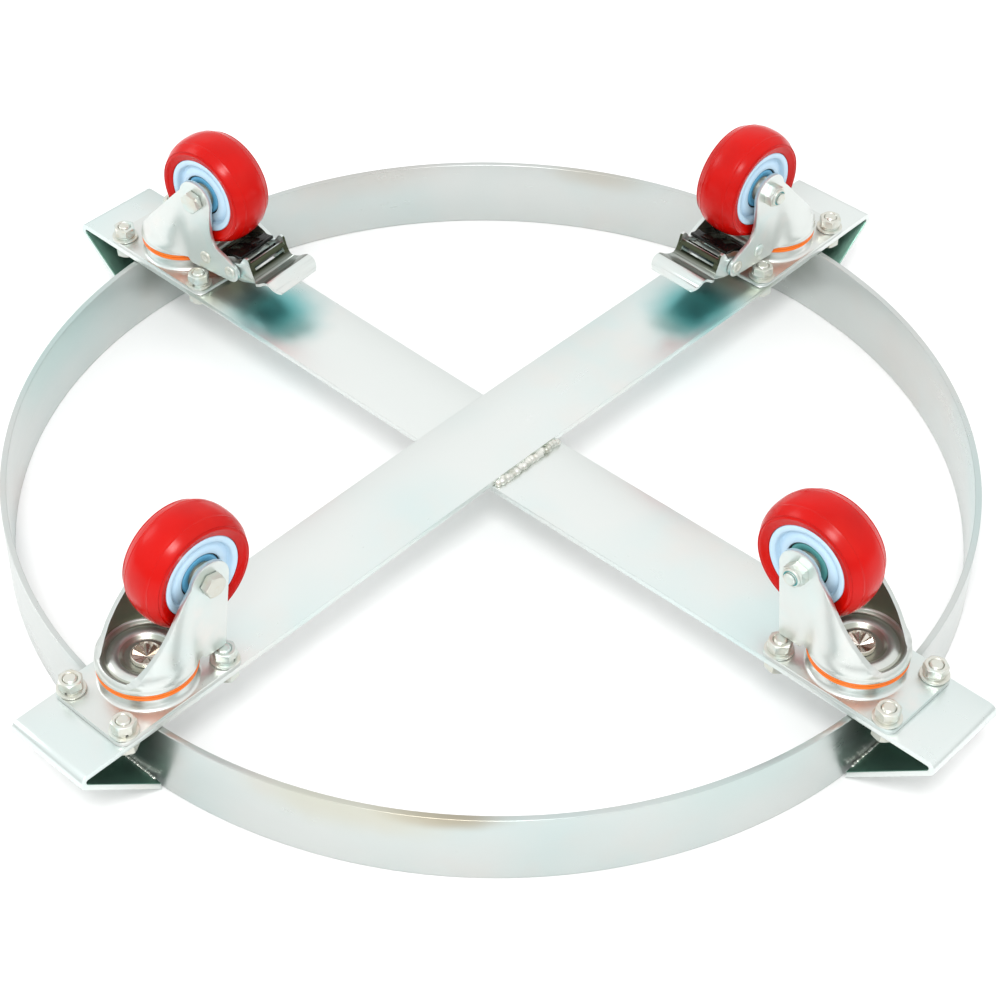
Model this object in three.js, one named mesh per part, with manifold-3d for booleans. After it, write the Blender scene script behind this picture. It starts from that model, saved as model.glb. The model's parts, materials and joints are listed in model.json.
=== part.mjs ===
// A drum dolly for a 600 mm drum: a flat steel ring and two crossed bars, with a swivel castor at each bar end.
// It is modelled upside down, standing on the rim of its drum ring with the castors up.
// Millimetres, +Z up, origin on the floor at the centre of the ring.

import * as THREE from "three";
import { mergeVertices } from "three/addons/utils/BufferGeometryUtils.js";
import Module from "manifold-3d";

const wasm = await Module();
wasm.setup();

const DEG = Math.PI / 180;
const GAP = 0.3;

// Drum ring, standing on the floor.
const RING = { inner: 300, outer: 304, height: 48.7, sides: 72 };

// Crossbars: flat strip laid over the ring, its ends folded back down to the foot of the ring.
const BAR = { width: 60, thickness: 4, reach: 358, foldRadius: 3.5, flapSlope: 39.8 * DEG };
const BAR_MIDDLE = RING.height + GAP + BAR.thickness / 2;
const BAR_TOP = BAR_MIDDLE + BAR.thickness / 2;
const BOW = { rise: 2.2, span: 240, steps: 6 };

// Castors, measured from the top of the bar and from the swivel axis.
const CASTOR_RADIUS = 282;
const PLATE = { length: 92, width: 60, thickness: 3, corner: 6, mouth: 28 };
const BOLT = { along: 37.5, across: 22.5, radius: 4, hole: 4.4, acrossFlats: 13, headHeight: 5.3, tip: 13 };
const WASHER = { radius: 8.7, thickness: 1.5 };
const NUT_TOP = 12.3;
const SEAL = { inner: 25.2, outer: 29.2, bottom: 11.8, top: 16.3 };
const RACE = { radius: 18.5, ball: 3, middle: 14.3 };
const AXLE = { trail: 33.2, height: 67.4, radius: 4, hole: 4.3, acrossFlats: 13, headHeight: 5.5, nutHeight: 7.6 };
const FORK = { half: 20.5, sheet: 2.5, bottom: 16.6, wrap: 29.5, crease: 21.2, eye: 13.5, lowest: 13.6 };
const WHEEL = { radius: 37.5, halfWidth: 15.75, core: 25.6, bearing: 13.6 };
const RIVET = { radius: 2.8, hole: 3.2, headRadius: 4.6, headHeight: 1.6 };
const SHOE_PIVOT = { x: 39.5, z: 24.3 };
const PEDAL_PIVOT = { x: 61.5, z: 22.3 };
const PEDAL = { ear: 17.6, sheet: 1.8, tab: 20.5, corner: 7 };
const SHOE = { half: 15.3, sheet: 2 };

// One castor at each bar end. `bearing` is the direction from the ring's centre, and `turn` is how far the trail
// of the wheel is turned from straight inwards, both in degrees.
const CASTORS = [
  { name: "front", bearing: -90, turn: -2, brake: false },
  { name: "right", bearing: 0, turn: 0, brake: false },
  { name: "rear", bearing: 90, turn: -1.5, brake: true },
  { name: "left", bearing: 180, turn: 4, brake: true },
];

const ZINC = { color: 0xdde3e2, roughness: 0.32, metalness: 1 };
const BRIGHT_ZINC = { color: 0xe9eceb, roughness: 0.22, metalness: 1 };
const WELD = { color: 0xb9bdb8, roughness: 0.45, metalness: 1 };
const ORANGE_PLASTIC = { color: 0xf08040, roughness: 0.45, metalness: 0 };
const RED_TREAD = { color: 0xd92318, roughness: 0.28, metalness: 0 };
const PALE_BLUE_PLASTIC = { color: 0xbfe0f2, roughness: 0.4, metalness: 0 };
const BLUE_SEAL = { color: 0x6ebee6, roughness: 0.45, metalness: 0 };
const BLACK_PLATE = { color: 0x15171a, roughness: 0.35, metalness: 0.6 };
const BALL_STEEL = { color: 0xc8ccd0, roughness: 0.15, metalness: 1 };

// ---------------------------------------------------------------- shape helpers

function withoutRepeats(geometry) {
  const bare = geometry.clone();
  bare.deleteAttribute("normal");
  bare.deleteAttribute("uv");
  const merged = mergeVertices(bare, 1e-4);
  const corners = merged.index.array;
  const kept = [];
  for (let i = 0; i < corners.length; i += 3) {
    const [a, b, c] = corners.slice(i, i + 3);
    if (a !== b && b !== c && c !== a) kept.push(a, b, c);
  }
  merged.setIndex(kept);
  return merged;
}

function toSolid(geometry) {
  const merged = withoutRepeats(geometry);
  return new wasm.Manifold(
    new wasm.Mesh({
      numProp: 3,
      vertProperties: merged.attributes.position.array,
      triVerts: new Uint32Array(merged.index.array),
    }),
  );
}

function toGeometry(solid) {
  const { vertProperties, triVerts } = solid.getMesh();
  const geometry = new THREE.BufferGeometry();
  geometry.setAttribute("position", new THREE.BufferAttribute(vertProperties, 3));
  geometry.setIndex(new THREE.BufferAttribute(triVerts, 1));
  return geometry;
}

function joined(geometries) {
  return toGeometry(geometries.map(toSolid).reduce((all, next) => all.add(next)));
}

function cut(geometry, tools) {
  return toGeometry(tools.map(toSolid).reduce((left, tool) => left.subtract(tool), toSolid(geometry)));
}

function signedArea(points) {
  return points.reduce((sum, [x, y], i) => {
    const [nextX, nextY] = points[(i + 1) % points.length];
    return sum + (x * nextY - nextX * y) / 2;
  }, 0);
}

// A solid of revolution about Z from a closed [radius, height] outline.
function turned(outline, sides) {
  const ordered = signedArea(outline) > 0 ? outline : [...outline].reverse();
  const closed = [...ordered, ordered[0]].map(([r, z]) => new THREE.Vector2(r, z));
  return withoutRepeats(new THREE.LatheGeometry(closed, sides).rotateX(90 * DEG));
}

function cylinder(radius, bottom, top, sides) {
  return turned([[0, bottom], [radius, bottom], [radius, top], [0, top]], sides);
}

function hexagon(acrossFlats, bottom, top) {
  return cylinder(acrossFlats / 2 / Math.cos(30 * DEG), bottom, top, 6);
}

function shapeOf(points) {
  return new THREE.Shape(points.map(([x, y]) => new THREE.Vector2(x, y)));
}

function extruded(shape, depth, curveSegments = 6) {
  return new THREE.ExtrudeGeometry(shape, { depth, bevelEnabled: false, steps: 1, curveSegments });
}

// A side-view outline in x and z, given depth along y from `from` to `to`.
function acrossY(shape, from, to, curveSegments) {
  return extruded(shape, to - from, curveSegments).rotateX(90 * DEG).translate(0, to, 0);
}

function mirroredY(geometry) {
  const mirrored = withoutRepeats(geometry);
  mirrored.scale(1, -1, 1);
  mirrored.setIndex(Array.from(mirrored.index.array).reverse());
  return mirrored;
}

// The outline of a bent strip from the points along its middle. Both ends are cut square, or along the vertical
// when `cutVertical` is set.
function stripOutline(middle, thickness, cutVertical = false) {
  const last = middle.length - 1;
  const sides = middle.map(([x, z], i) => {
    const [x0, z0] = middle[Math.max(i - 1, 0)];
    const [x1, z1] = middle[Math.min(i + 1, last)];
    const along = new THREE.Vector2(x1 - x0, z1 - z0).normalize();
    const half = thickness / 2;
    const isEnd = i === 0 || i === last;
    const step = isEnd && cutVertical ? [0, half / along.x] : [-along.y * half, along.x * half];
    return { left: [x + step[0], z + step[1]], right: [x - step[0], z - step[1]] };
  });
  return [...sides.map((side) => side.right), ...sides.map((side) => side.left).reverse()];
}

function mesh(name, geometry, finish) {
  const piece = new THREE.Mesh(geometry, new THREE.MeshStandardMaterial(finish));
  piece.name = name;
  return piece;
}

// ---------------------------------------------------------------- ring, bars and weld

function ringGeometry() {
  const { inner, outer, height, sides } = RING;
  return turned([[inner, 0], [outer, 0], [outer, height], [inner, height]], sides);
}

// Half of the bar's side view, from the middle of the dolly out to the foot of the flap.
function barMiddleLine(rise) {
  const line = [];
  for (let i = 0; i <= BOW.steps; i++) {
    const x = (BOW.span * i) / BOW.steps;
    line.push([x, BAR_MIDDLE + rise * Math.cos((i / BOW.steps) * 90 * DEG) ** 2]);
  }
  const foldX = BAR.reach - BAR.foldRadius - BAR.thickness / 2;
  const foldZ = BAR_MIDDLE - BAR.foldRadius;
  const foldSteps = 5;
  for (let i = 0; i <= foldSteps; i++) {
    const turn = ((180 * DEG - BAR.flapSlope) * i) / foldSteps;
    line.push([foldX + BAR.foldRadius * Math.sin(turn), foldZ + BAR.foldRadius * Math.cos(turn)]);
  }
  const [flapX, flapZ] = line[line.length - 1];
  const footX = RING.outer + GAP;
  line.push([footX, flapZ - (flapX - footX) * Math.tan(BAR.flapSlope)]);
  return line;
}

function boltPlaces() {
  return [[1, -1], [1, 1], [-1, 1], [-1, -1]].map(([i, j]) => [i * BOLT.along, j * BOLT.across]);
}

// A crossbar along X. The upper one bows up and the lower one down, so that they pass at the centre.
function barGeometry(rise) {
  const half = barMiddleLine(rise);
  const mirrored = half.slice(1).reverse().map(([x, z]) => [-x, z]);
  const outline = stripOutline([...mirrored, ...half], BAR.thickness, true);
  const strip = acrossY(shapeOf(outline), -BAR.width / 2, BAR.width / 2);
  const holes = [-1, 1].flatMap((end) =>
    boltPlaces().map(([x, y]) =>
      cylinder(BOLT.hole, BAR_MIDDLE - BAR.thickness, BAR_TOP + BAR.thickness, 6).translate(
        end * CASTOR_RADIUS + x, y, 0),
    ),
  );
  return cut(strip, holes);
}

// A fillet weld along the side of the upper bar, where it crosses the lower one.
function centreWeldGeometry() {
  const foot = BAR_TOP - BOW.rise + 2 * GAP;
  const inner = BAR.width / 2 + GAP;
  const leg = 4.6;
  const bead = [
    [inner, foot],
    [inner + leg, foot],
    [inner + leg * 0.8, foot + leg * 0.5],
    [inner + leg * 0.4, foot + leg * 0.8],
    [inner, foot + leg * 0.85],
  ];
  return acrossY(shapeOf(bead), -27, 28);
}

// ---------------------------------------------------------------- castor: fixed pieces

function plateGeometry() {
  const { length, width, thickness, corner, mouth } = PLATE;
  const top = GAP + thickness;
  const x = length / 2;
  const y = width / 2;
  const shape = new THREE.Shape();
  shape.absarc(x - corner, y - corner, corner, 0, 90 * DEG);
  shape.absarc(-x + corner, y - corner, corner, 90 * DEG, 180 * DEG);
  shape.absarc(-x + corner, -y + corner, corner, 180 * DEG, 270 * DEG);
  shape.absarc(x - corner, -y + corner, corner, 270 * DEG, 360 * DEG);
  const flat = extruded(shape, thickness, 2).translate(0, 0, GAP);
  const mouthCut = cylinder(mouth, 0, top + 1, 20);
  const boltHoles = boltPlaces().map(([bx, by]) => cylinder(BOLT.hole, 0, top + 1, 6).translate(bx, by, 0));
  const raceway = turned(
    [[8, 8.5], [8, 11], [25, 11], [27, 9.6], [27.6, 5.6], [29.8, top], [29.8, GAP], [26.5, GAP], [23.5, 8.5]],
    20,
  );
  return joined([cut(flat, [mouthCut, ...boltHoles]), raceway]);
}

// Bolt, nut and washers, clamping the mounting plate to the bar.
function plateBoltGeometry() {
  const underside = -BAR.thickness - GAP;
  const seat = PLATE.thickness + 2 * GAP;
  const washerTop = seat + WASHER.thickness;
  return joined([
    hexagon(BOLT.acrossFlats, underside - BOLT.headHeight, underside),
    cylinder(BOLT.radius, underside - 1, BOLT.tip, 6),
    cylinder(WASHER.radius, seat, washerTop, 10),
    hexagon(BOLT.acrossFlats, washerTop - 0.1, NUT_TOP),
  ]);
}

function kingpinGeometry() {
  return turned(
    [[0, 17.9], [8, 20.8], [9.2, 20.3], [9.2, 18.1], [6, 18.1], [6, 8.2], [11, 8.2], [11, 5.5], [0, 5.5]],
    12,
  );
}

function swivelBallsGeometry() {
  const { radius, ball, middle } = RACE;
  const section = Array.from({ length: 6 }, (_, i) => [
    radius + ball * Math.cos(i * 60 * DEG),
    middle + ball * Math.sin(i * 60 * DEG),
  ]);
  return turned(section, 16);
}

function sealGeometry() {
  const { inner, outer, bottom, top } = SEAL;
  return turned([[inner, bottom], [outer - 0.7, bottom], [outer, bottom + 0.9], [outer, top], [inner, top]], 20);
}

// ---------------------------------------------------------------- castor: fork

function forkBaseGeometry() {
  return turned(
    [
      [6.3, 15.3], [13, 15.3], [15.2, 17.7], [22, 17.7], [24, FORK.bottom], [FORK.wrap, FORK.bottom],
      [FORK.wrap, 17.8], [27.6, 19.3], [24, 18.9], [19, 20.6], [13.3, 17.8], [6.3, 17.8],
    ],
    18,
  );
}

// Where the front edge of the arm runs, from the base up to the eye: x, outer y and z.
const FRONT_EDGE = new THREE.CatmullRomCurve3([
  new THREE.Vector3(-22.6, 18.9, FORK.bottom),
  new THREE.Vector3(-21.4, 18.8, 23.5),
  new THREE.Vector3(-15.3, 20.1, 30),
  new THREE.Vector3(-4.9, 22.4, 42),
  new THREE.Vector3(6.6, 22, 55),
  new THREE.Vector3(17, 20.6, 67),
]);

// The front part of the arm, wrapped round the base. Each level is an arc of the wrap radius from the crease
// to the front edge.
function wrappedArmGeometry() {
  const rows = 6;
  const columns = 4;
  const grid = new THREE.BoxGeometry(1, 1, 1, columns, rows, 1);
  const place = grid.attributes.position;
  const crease = new THREE.Vector2(FORK.crease + 0.6, FORK.half);
  for (let i = 0; i < place.count; i++) {
    const front = FRONT_EDGE.getPoint(place.getY(i) + 0.5);
    const chord = new THREE.Vector2(front.x, front.y).sub(crease);
    const outward = new THREE.Vector2(chord.y, -chord.x).normalize();
    const sunk = Math.sqrt(FORK.wrap ** 2 - (chord.length() / 2) ** 2);
    const centre = crease.clone().addScaledVector(chord, 0.5).addScaledVector(outward, -sunk);
    const spread = 2 * Math.asin(chord.length() / 2 / FORK.wrap);
    const start = Math.atan2(crease.y - centre.y, crease.x - centre.x);
    const turn = start + spread * (0.5 - place.getX(i));
    const radius = FORK.wrap - FORK.sheet * (0.5 + place.getZ(i));
    place.setXYZ(i, centre.x + radius * Math.cos(turn), centre.y + radius * Math.sin(turn), front.z);
  }
  return withoutRepeats(grid);
}

// The flat part of the arm in side view. A braked arm has a tail that carries the two brake rivets.
function flatArmShape(brake) {
  const shape = new THREE.Shape();
  const front = FORK.crease - 0.5;
  shape.moveTo(front, FORK.bottom + 0.2);
  shape.lineTo(front + 3.6, FORK.bottom);
  shape.lineTo(front + 5, FORK.lowest);
  if (brake) {
    shape.lineTo(PEDAL_PIVOT.x + 0.5, 15.2);
    shape.absarc(PEDAL_PIVOT.x, PEDAL_PIVOT.z, 7, -80 * DEG, 50 * DEG);
    shape.lineTo(57, 33.4);
    shape.lineTo(48, 36.5);
    shape.lineTo(45, 41);
    shape.lineTo(45, 50);
  } else {
    shape.lineTo(40.5, FORK.lowest);
    shape.lineTo(42.5, 31);
  }
  shape.absarc(AXLE.trail, AXLE.height, FORK.eye, -15 * DEG, 180 * DEG);
  return shape;
}

function rivetPin(pivot) {
  const reach = FORK.half + RIVET.headHeight;
  return joined([
    cylinder(RIVET.radius, -reach, reach, 8),
    cylinder(RIVET.headRadius, -reach, 0.1 - FORK.half, 8),
    cylinder(RIVET.headRadius, FORK.half - 0.1, reach, 8),
  ]).rotateX(90 * DEG).translate(pivot.x, 0, pivot.z);
}

function forkGeometry(brake) {
  const wrapped = wrappedArmGeometry();
  const flat = acrossY(flatArmShape(brake), FORK.half - FORK.sheet, FORK.half, 6);
  const pieces = [forkBaseGeometry(), wrapped, mirroredY(wrapped), flat, mirroredY(flat)];
  const axleHole = cylinder(AXLE.hole, -30, 30, 8).rotateX(90 * DEG).translate(AXLE.trail, 0, AXLE.height);
  const fork = cut(joined(pieces), [axleHole]);
  return brake ? joined([fork, rivetPin(SHOE_PIVOT), rivetPin(PEDAL_PIVOT)]) : fork;
}

// ---------------------------------------------------------------- castor: wheel and axle, turned about Y

function alongY(geometry) {
  return geometry.rotateX(90 * DEG).translate(AXLE.trail, 0, AXLE.height);
}

// Bolt head on one side of the fork, nut on the other.
function axleGeometry() {
  const seat = FORK.half + GAP;
  return alongY(
    joined([
      hexagon(AXLE.acrossFlats, seat, seat + AXLE.headHeight),
      cylinder(AXLE.radius, -seat - AXLE.nutHeight - 1.5, seat + 1, 8),
      hexagon(AXLE.acrossFlats, -seat - AXLE.nutHeight, -seat),
    ]),
  );
}

function treadGeometry() {
  const { radius, halfWidth, core } = WHEEL;
  const bore = core + GAP;
  const crown = [];
  for (let i = -3; i <= 3; i++) {
    const across = Math.sin((i / 3) * 90 * DEG);
    crown.push([radius - 5 * Math.abs(across) ** 2.5, across * halfWidth]);
  }
  return alongY(turned([[bore, -13.8], ...crown, [bore, 13.8]], 22));
}

function coreGeometry() {
  const { core, bearing } = WHEEL;
  const bore = bearing + GAP;
  const half = [[bore, 14.2], [16.5, 14.2], [17, 12.2], [20.8, 12.2], [core, 13.8]];
  const other = [...half].reverse().map(([r, y]) => [r, -y]);
  return alongY(turned([...half, ...other], 16));
}

// Two sealed ball bearings with the sleeve between them.
function bearingGeometry() {
  const { bearing } = WHEEL;
  const bore = AXLE.radius + GAP;
  const half = [[bore, 17.6], [6.5, 17.6], [6.5, 14], [bearing, 14]];
  const other = [...half].reverse().map(([r, y]) => [r, -y]);
  return alongY(turned([...half, ...other], 12));
}

// ---------------------------------------------------------------- castor: brake

function pivotHole(pivot) {
  return cylinder(RIVET.hole, -30, 30, 8).rotateX(90 * DEG).translate(pivot.x, 0, pivot.z);
}

// Foot pedal: two ears on the rear rivet, a rolled crossbar between them, a trough and a sloping lip.
function pedalGeometry() {
  const { ear, sheet, tab, corner } = PEDAL;
  const crossbar = [[73.6, 28.4], [73.9, 31], [75, 32.4], [76.5, 31.9], [77.6, 29.6], [78.9, 26.8]];
  const step = [[78.9, 26.8], [81, 24.1], [84, 23], [87, 24], [93.2, 28.1], [95.6, 28.5], [98, 27.8], [104.6, 23.7]];
  const shoulder = acrossY(shapeOf(stripOutline(crossbar, sheet)), -ear, ear);
  const fullTab = acrossY(shapeOf(stripOutline(step, sheet)), -tab, tab);
  const left = step[0][0] - 2;
  const right = step[step.length - 1][0] + 0.8;
  const corners = new THREE.Shape();
  corners.moveTo(left, -ear);
  corners.lineTo(81.6, -ear);
  corners.lineTo(87, -tab);
  corners.absarc(right - corner, corner - tab, corner, -90 * DEG, 0);
  corners.absarc(right - corner, tab - corner, corner, 0, 90 * DEG);
  corners.lineTo(87, tab);
  corners.lineTo(81.6, ear);
  corners.lineTo(left, ear);
  const trimmed = toGeometry(toSolid(fullTab).intersect(toSolid(extruded(corners, 40, 4))));
  const earShape = new THREE.Shape();
  earShape.absarc(PEDAL_PIVOT.x, PEDAL_PIVOT.z, 6, 110 * DEG, 280 * DEG);
  earShape.lineTo(79.8, 20.6);
  earShape.lineTo(82.4, 22.2);
  earShape.lineTo(80.4, 24.9);
  earShape.lineTo(78.6, 28.4);
  earShape.absarc(74, 34.9, 2.7, 0, 150 * DEG);
  const oneEar = acrossY(earShape, ear - sheet, ear, 5);
  return cut(joined([shoulder, trimmed, oneEar, mirroredY(oneEar)]), [pivotHole(PEDAL_PIVOT)]);
}

// Brake shoe: a pressed plate under the tread, with two ears on the front rivet.
function shoeGeometry() {
  const { half, sheet } = SHOE;
  const pad = [[45, 26.6], [48.5, 28.2], [57, 31.4], [63.5, 33.2], [68, 34]];
  const plate = acrossY(shapeOf(stripOutline(pad, sheet)), -half, half);
  const earShape = new THREE.Shape();
  earShape.absarc(SHOE_PIVOT.x, SHOE_PIVOT.z, 5, 80 * DEG, 270 * DEG);
  earShape.lineTo(50, 22.5);
  earShape.lineTo(54, 30.4);
  earShape.lineTo(48.5, 28.4);
  const oneEar = acrossY(earShape, half - sheet, half, 4);
  return cut(joined([plate, oneEar, mirroredY(oneEar)]), [pivotHole(SHOE_PIVOT)]);
}

// ---------------------------------------------------------------- assembly

function castorGroup({ name, bearing, turn, brake }) {
  const angle = bearing * DEG;
  const castor = new THREE.Group();
  castor.position.set(CASTOR_RADIUS * Math.cos(angle), CASTOR_RADIUS * Math.sin(angle), BAR_TOP);
  castor.rotation.z = angle;
  castor.add(mesh(`${name}_mounting_plate`, plateGeometry(), ZINC));
  boltPlaces().forEach(([x, y], i) => {
    const bolt = mesh(`${name}_plate_bolt_${i + 1}`, plateBoltGeometry(), BRIGHT_ZINC);
    bolt.position.set(x, y, 0);
    castor.add(bolt);
  });
  castor.add(mesh(`${name}_kingpin`, kingpinGeometry(), BRIGHT_ZINC));

  const swivel = new THREE.Group();
  swivel.rotation.z = (180 + turn) * DEG;
  swivel.add(mesh(`${name}_swivel_balls`, swivelBallsGeometry(), BALL_STEEL));
  swivel.add(mesh(`${name}_dust_seal`, sealGeometry(), ORANGE_PLASTIC));
  swivel.add(mesh(`${name}_fork`, forkGeometry(brake), ZINC));
  swivel.add(mesh(`${name}_axle`, axleGeometry(), BRIGHT_ZINC));
  swivel.add(mesh(`${name}_tread`, treadGeometry(), RED_TREAD));
  swivel.add(mesh(`${name}_core`, coreGeometry(), PALE_BLUE_PLASTIC));
  swivel.add(mesh(`${name}_bearing`, bearingGeometry(), BLUE_SEAL));
  if (brake) {
    swivel.add(mesh(`${name}_brake_pedal`, pedalGeometry(), BRIGHT_ZINC));
    swivel.add(mesh(`${name}_brake_shoe`, shoeGeometry(), BLACK_PLATE));
  }
  castor.add(swivel);
  return castor;
}

const dolly = new THREE.Group();
dolly.add(mesh("ring_band", ringGeometry(), ZINC));
dolly.add(mesh("crossbar_lower", barGeometry(-BOW.rise), ZINC));
const upperBar = mesh("crossbar_upper", barGeometry(BOW.rise), ZINC);
upperBar.rotation.z = 90 * DEG;
dolly.add(upperBar);
dolly.add(mesh("centre_weld", centreWeldGeometry(), WELD));
CASTORS.forEach((castor) => dolly.add(castorGroup(castor)));

export default dolly;
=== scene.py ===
"""A drum dolly with four swivel castors, shown upside down on its drum ring: the visible pieces, the floor, the
lights and the camera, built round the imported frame. Pieces are modelled in millimetres and settled in metres."""

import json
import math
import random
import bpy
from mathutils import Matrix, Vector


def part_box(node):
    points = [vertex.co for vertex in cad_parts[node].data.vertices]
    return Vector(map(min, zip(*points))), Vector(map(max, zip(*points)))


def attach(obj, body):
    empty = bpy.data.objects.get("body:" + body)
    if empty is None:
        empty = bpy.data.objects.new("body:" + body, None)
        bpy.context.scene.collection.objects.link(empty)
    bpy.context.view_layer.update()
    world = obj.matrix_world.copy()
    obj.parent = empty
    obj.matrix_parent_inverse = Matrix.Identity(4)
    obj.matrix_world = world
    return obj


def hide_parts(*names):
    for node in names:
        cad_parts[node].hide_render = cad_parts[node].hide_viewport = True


bl_info = {
    "name": "Drum dolly",
    "version": (1, 0, 0),
    "blender": (4, 5, 0),
    "location": "View3D > Sidebar > Dolly",
    "description": "Builds the ring, crossbars, castors and brakes of a drum dolly",
    "category": "Add Mesh",
}

import bmesh
import bpy
from bpy.props import FloatProperty, FloatVectorProperty, IntProperty, PointerProperty
from mathutils import Matrix, Vector

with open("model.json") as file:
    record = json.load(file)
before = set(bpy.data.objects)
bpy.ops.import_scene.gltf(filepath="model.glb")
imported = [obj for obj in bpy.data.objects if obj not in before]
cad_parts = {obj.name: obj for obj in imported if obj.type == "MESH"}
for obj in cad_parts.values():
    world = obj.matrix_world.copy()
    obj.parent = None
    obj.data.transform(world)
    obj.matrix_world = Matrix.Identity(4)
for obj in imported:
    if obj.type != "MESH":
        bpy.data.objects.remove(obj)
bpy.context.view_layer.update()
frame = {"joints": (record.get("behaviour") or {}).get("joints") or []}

MM = 0.001
MERGE_DISTANCE = 0.002
CASTORS = ("front", "right", "rear", "left")
BRAKED = ("rear", "left")
JOINTS = {joint["name"]: joint for joint in frame["joints"]}


# Places and sizes from the frame


def box_mm(node):
    low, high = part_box(node)
    return low / MM, high / MM


def swivel_place(castor):
    """Where a castor's swivel axis stands and which way its wheel trails, in the row frame, in metres."""
    swivel = Vector(JOINTS[f"{castor}_swivel_turn"]["pos_m"])
    wheel = Vector(JOINTS[f"{castor}_wheel_roll"]["pos_m"])
    return swivel, wheel - swivel


RING_OUTER, _, RING_HEIGHT = box_mm("ring_band")[1]
RING_WALL = 4
BAR_REACH, BAR_HALF_WIDTH, _ = box_mm("crossbar_lower")[1]
GAP = 0.3
BAR_THICKNESS = 4
BAR_MIDDLE = RING_HEIGHT + GAP + BAR_THICKNESS / 2
BAR_TOP = BAR_MIDDLE + BAR_THICKNESS / 2
BOW_RISE = 2.2
BOW_SPAN = 240
FLAP_SLOPE = math.radians(39.8)
FOLD_RADIUS = 3.5

AXLE_TRAIL = swivel_place("front")[1].to_2d().length / MM
AXLE_HEIGHT = JOINTS["front_wheel_roll"]["pos_m"][2] / MM - BAR_TOP
WHEEL_RADIUS = (box_mm("front_tread")[1].z - box_mm("front_tread")[0].z) / 2
BOLT_ALONG = 37.5
BOLT_ACROSS = 22.5
ARM_HALF = 20.5
SHEET = 2.5
M8_RADIUS = 4
M8_BORE = 4.15
M8_PITCH = 1.25
M8_ACROSS_FLATS = 13
SHOE_RIVET = (39.5, 24.3)
PEDAL_RIVET = (61.5, 22.3)
SLOT_HALF = 13.8


# Settings a user may change


class DollySizes(bpy.types.PropertyGroup):
    """Sizes of the finer details, in millimetres unless a unit is given."""

    edge: FloatProperty(name="Edge radius", description="Rounding of sheared steel edges, mm", default=0.5, min=0.1)
    round_steps: IntProperty(name="Round steps", description="Steps round a full turn", default=96, min=24)
    crown: FloatProperty(name="Tread crown", description="Fall of the tread at its shoulders, mm", default=5.0)
    tread_half: FloatProperty(name="Tread half width", description="Half the tread's width, mm", default=15.75)
    bead_step: FloatProperty(name="Weld ripple", description="Distance between weld ripples, mm", default=2.4)
    star_points: IntProperty(name="Star points", description="Ridges in the pressed kingpin head", default=11)
    floor_size: FloatProperty(name="Floor", description="Width of the floor", default=80.0, unit="LENGTH")


class DollyColours(bpy.types.PropertyGroup):
    """Base colours of the finishes."""

    zinc: FloatVectorProperty(
        name="Zinc", description="Bright zinc plate", subtype="COLOR", default=(0.77, 0.805, 0.785)
    )
    zinc_cool: FloatVectorProperty(
        name="Cool zinc", description="Blue-green bloom in the plate", subtype="COLOR", default=(0.62, 0.77, 0.76)
    )
    zinc_warm: FloatVectorProperty(
        name="Warm zinc", description="Pink and straw bloom in the plate", subtype="COLOR",
        default=(0.80, 0.765, 0.73),
    )
    tread: FloatVectorProperty(
        name="Tread", description="Red polyurethane", subtype="COLOR", default=(0.58, 0.003, 0.001)
    )
    core: FloatVectorProperty(
        name="Core", description="Pale blue moulding", subtype="COLOR", default=(0.56, 0.76, 0.92)
    )
    shield: FloatVectorProperty(
        name="Bearing shield", description="Blue bearing shield", subtype="COLOR", default=(0.13, 0.44, 0.70)
    )
    seal: FloatVectorProperty(
        name="Dust seal", description="Orange swivel seal", subtype="COLOR", default=(0.90, 0.20, 0.018)
    )


def sizes():
    return bpy.context.scene.dolly_sizes


def colours():
    return bpy.context.scene.dolly_colours


# Modelling helpers


def to_object_mode():
    if bpy.context.object is not None and bpy.context.object.mode != "OBJECT":
        bpy.ops.object.mode_set(mode="OBJECT")


def deselect_all():
    to_object_mode()
    bpy.ops.object.select_all(action="DESELECT")


def make_active(piece):
    deselect_all()
    piece.select_set(True)
    bpy.context.view_layer.objects.active = piece


def edit(piece):
    make_active(piece)
    bpy.ops.object.mode_set(mode="EDIT")


def select_corners(piece, test):
    """Selects the corners of a piece in edit mode that pass the test."""
    bpy.ops.mesh.select_mode(type="VERT")
    bpy.ops.mesh.select_all(action="DESELECT")
    mesh = bmesh.from_edit_mesh(piece.data)
    for corner in mesh.verts:
        corner.select_set(test(corner))
    mesh.select_flush(True)
    bmesh.update_edit_mesh(piece.data)


def drawn_line(name, points, closed=False):
    """A chain of edges through the points, drawn by extruding one corner after another."""
    deselect_all()
    bpy.ops.mesh.primitive_plane_add(size=1, location=points[0])
    piece = bpy.context.object
    piece.name = name
    bpy.ops.object.mode_set(mode="EDIT")
    bpy.ops.mesh.merge(type="CENTER")
    for here, there in zip(points, points[1:]):
        step = Vector(there) - Vector(here)
        bpy.ops.mesh.extrude_region_move(TRANSFORM_OT_translate={"value": step})
    if closed:
        select_corners(piece, lambda corner: len(corner.link_edges) == 1)
        bpy.ops.mesh.edge_face_add()
    bpy.ops.object.mode_set(mode="OBJECT")
    bpy.ops.object.transform_apply(location=True, rotation=False, scale=False)
    return piece


def tidy_shell(piece):
    """Merges doubled corners and turns the faces outwards."""
    edit(piece)
    bpy.ops.mesh.select_all(action="SELECT")
    bpy.ops.mesh.remove_doubles(threshold=MERGE_DISTANCE)
    bpy.ops.mesh.normals_make_consistent(inside=False)
    bpy.ops.object.mode_set(mode="OBJECT")
    return piece


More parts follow.
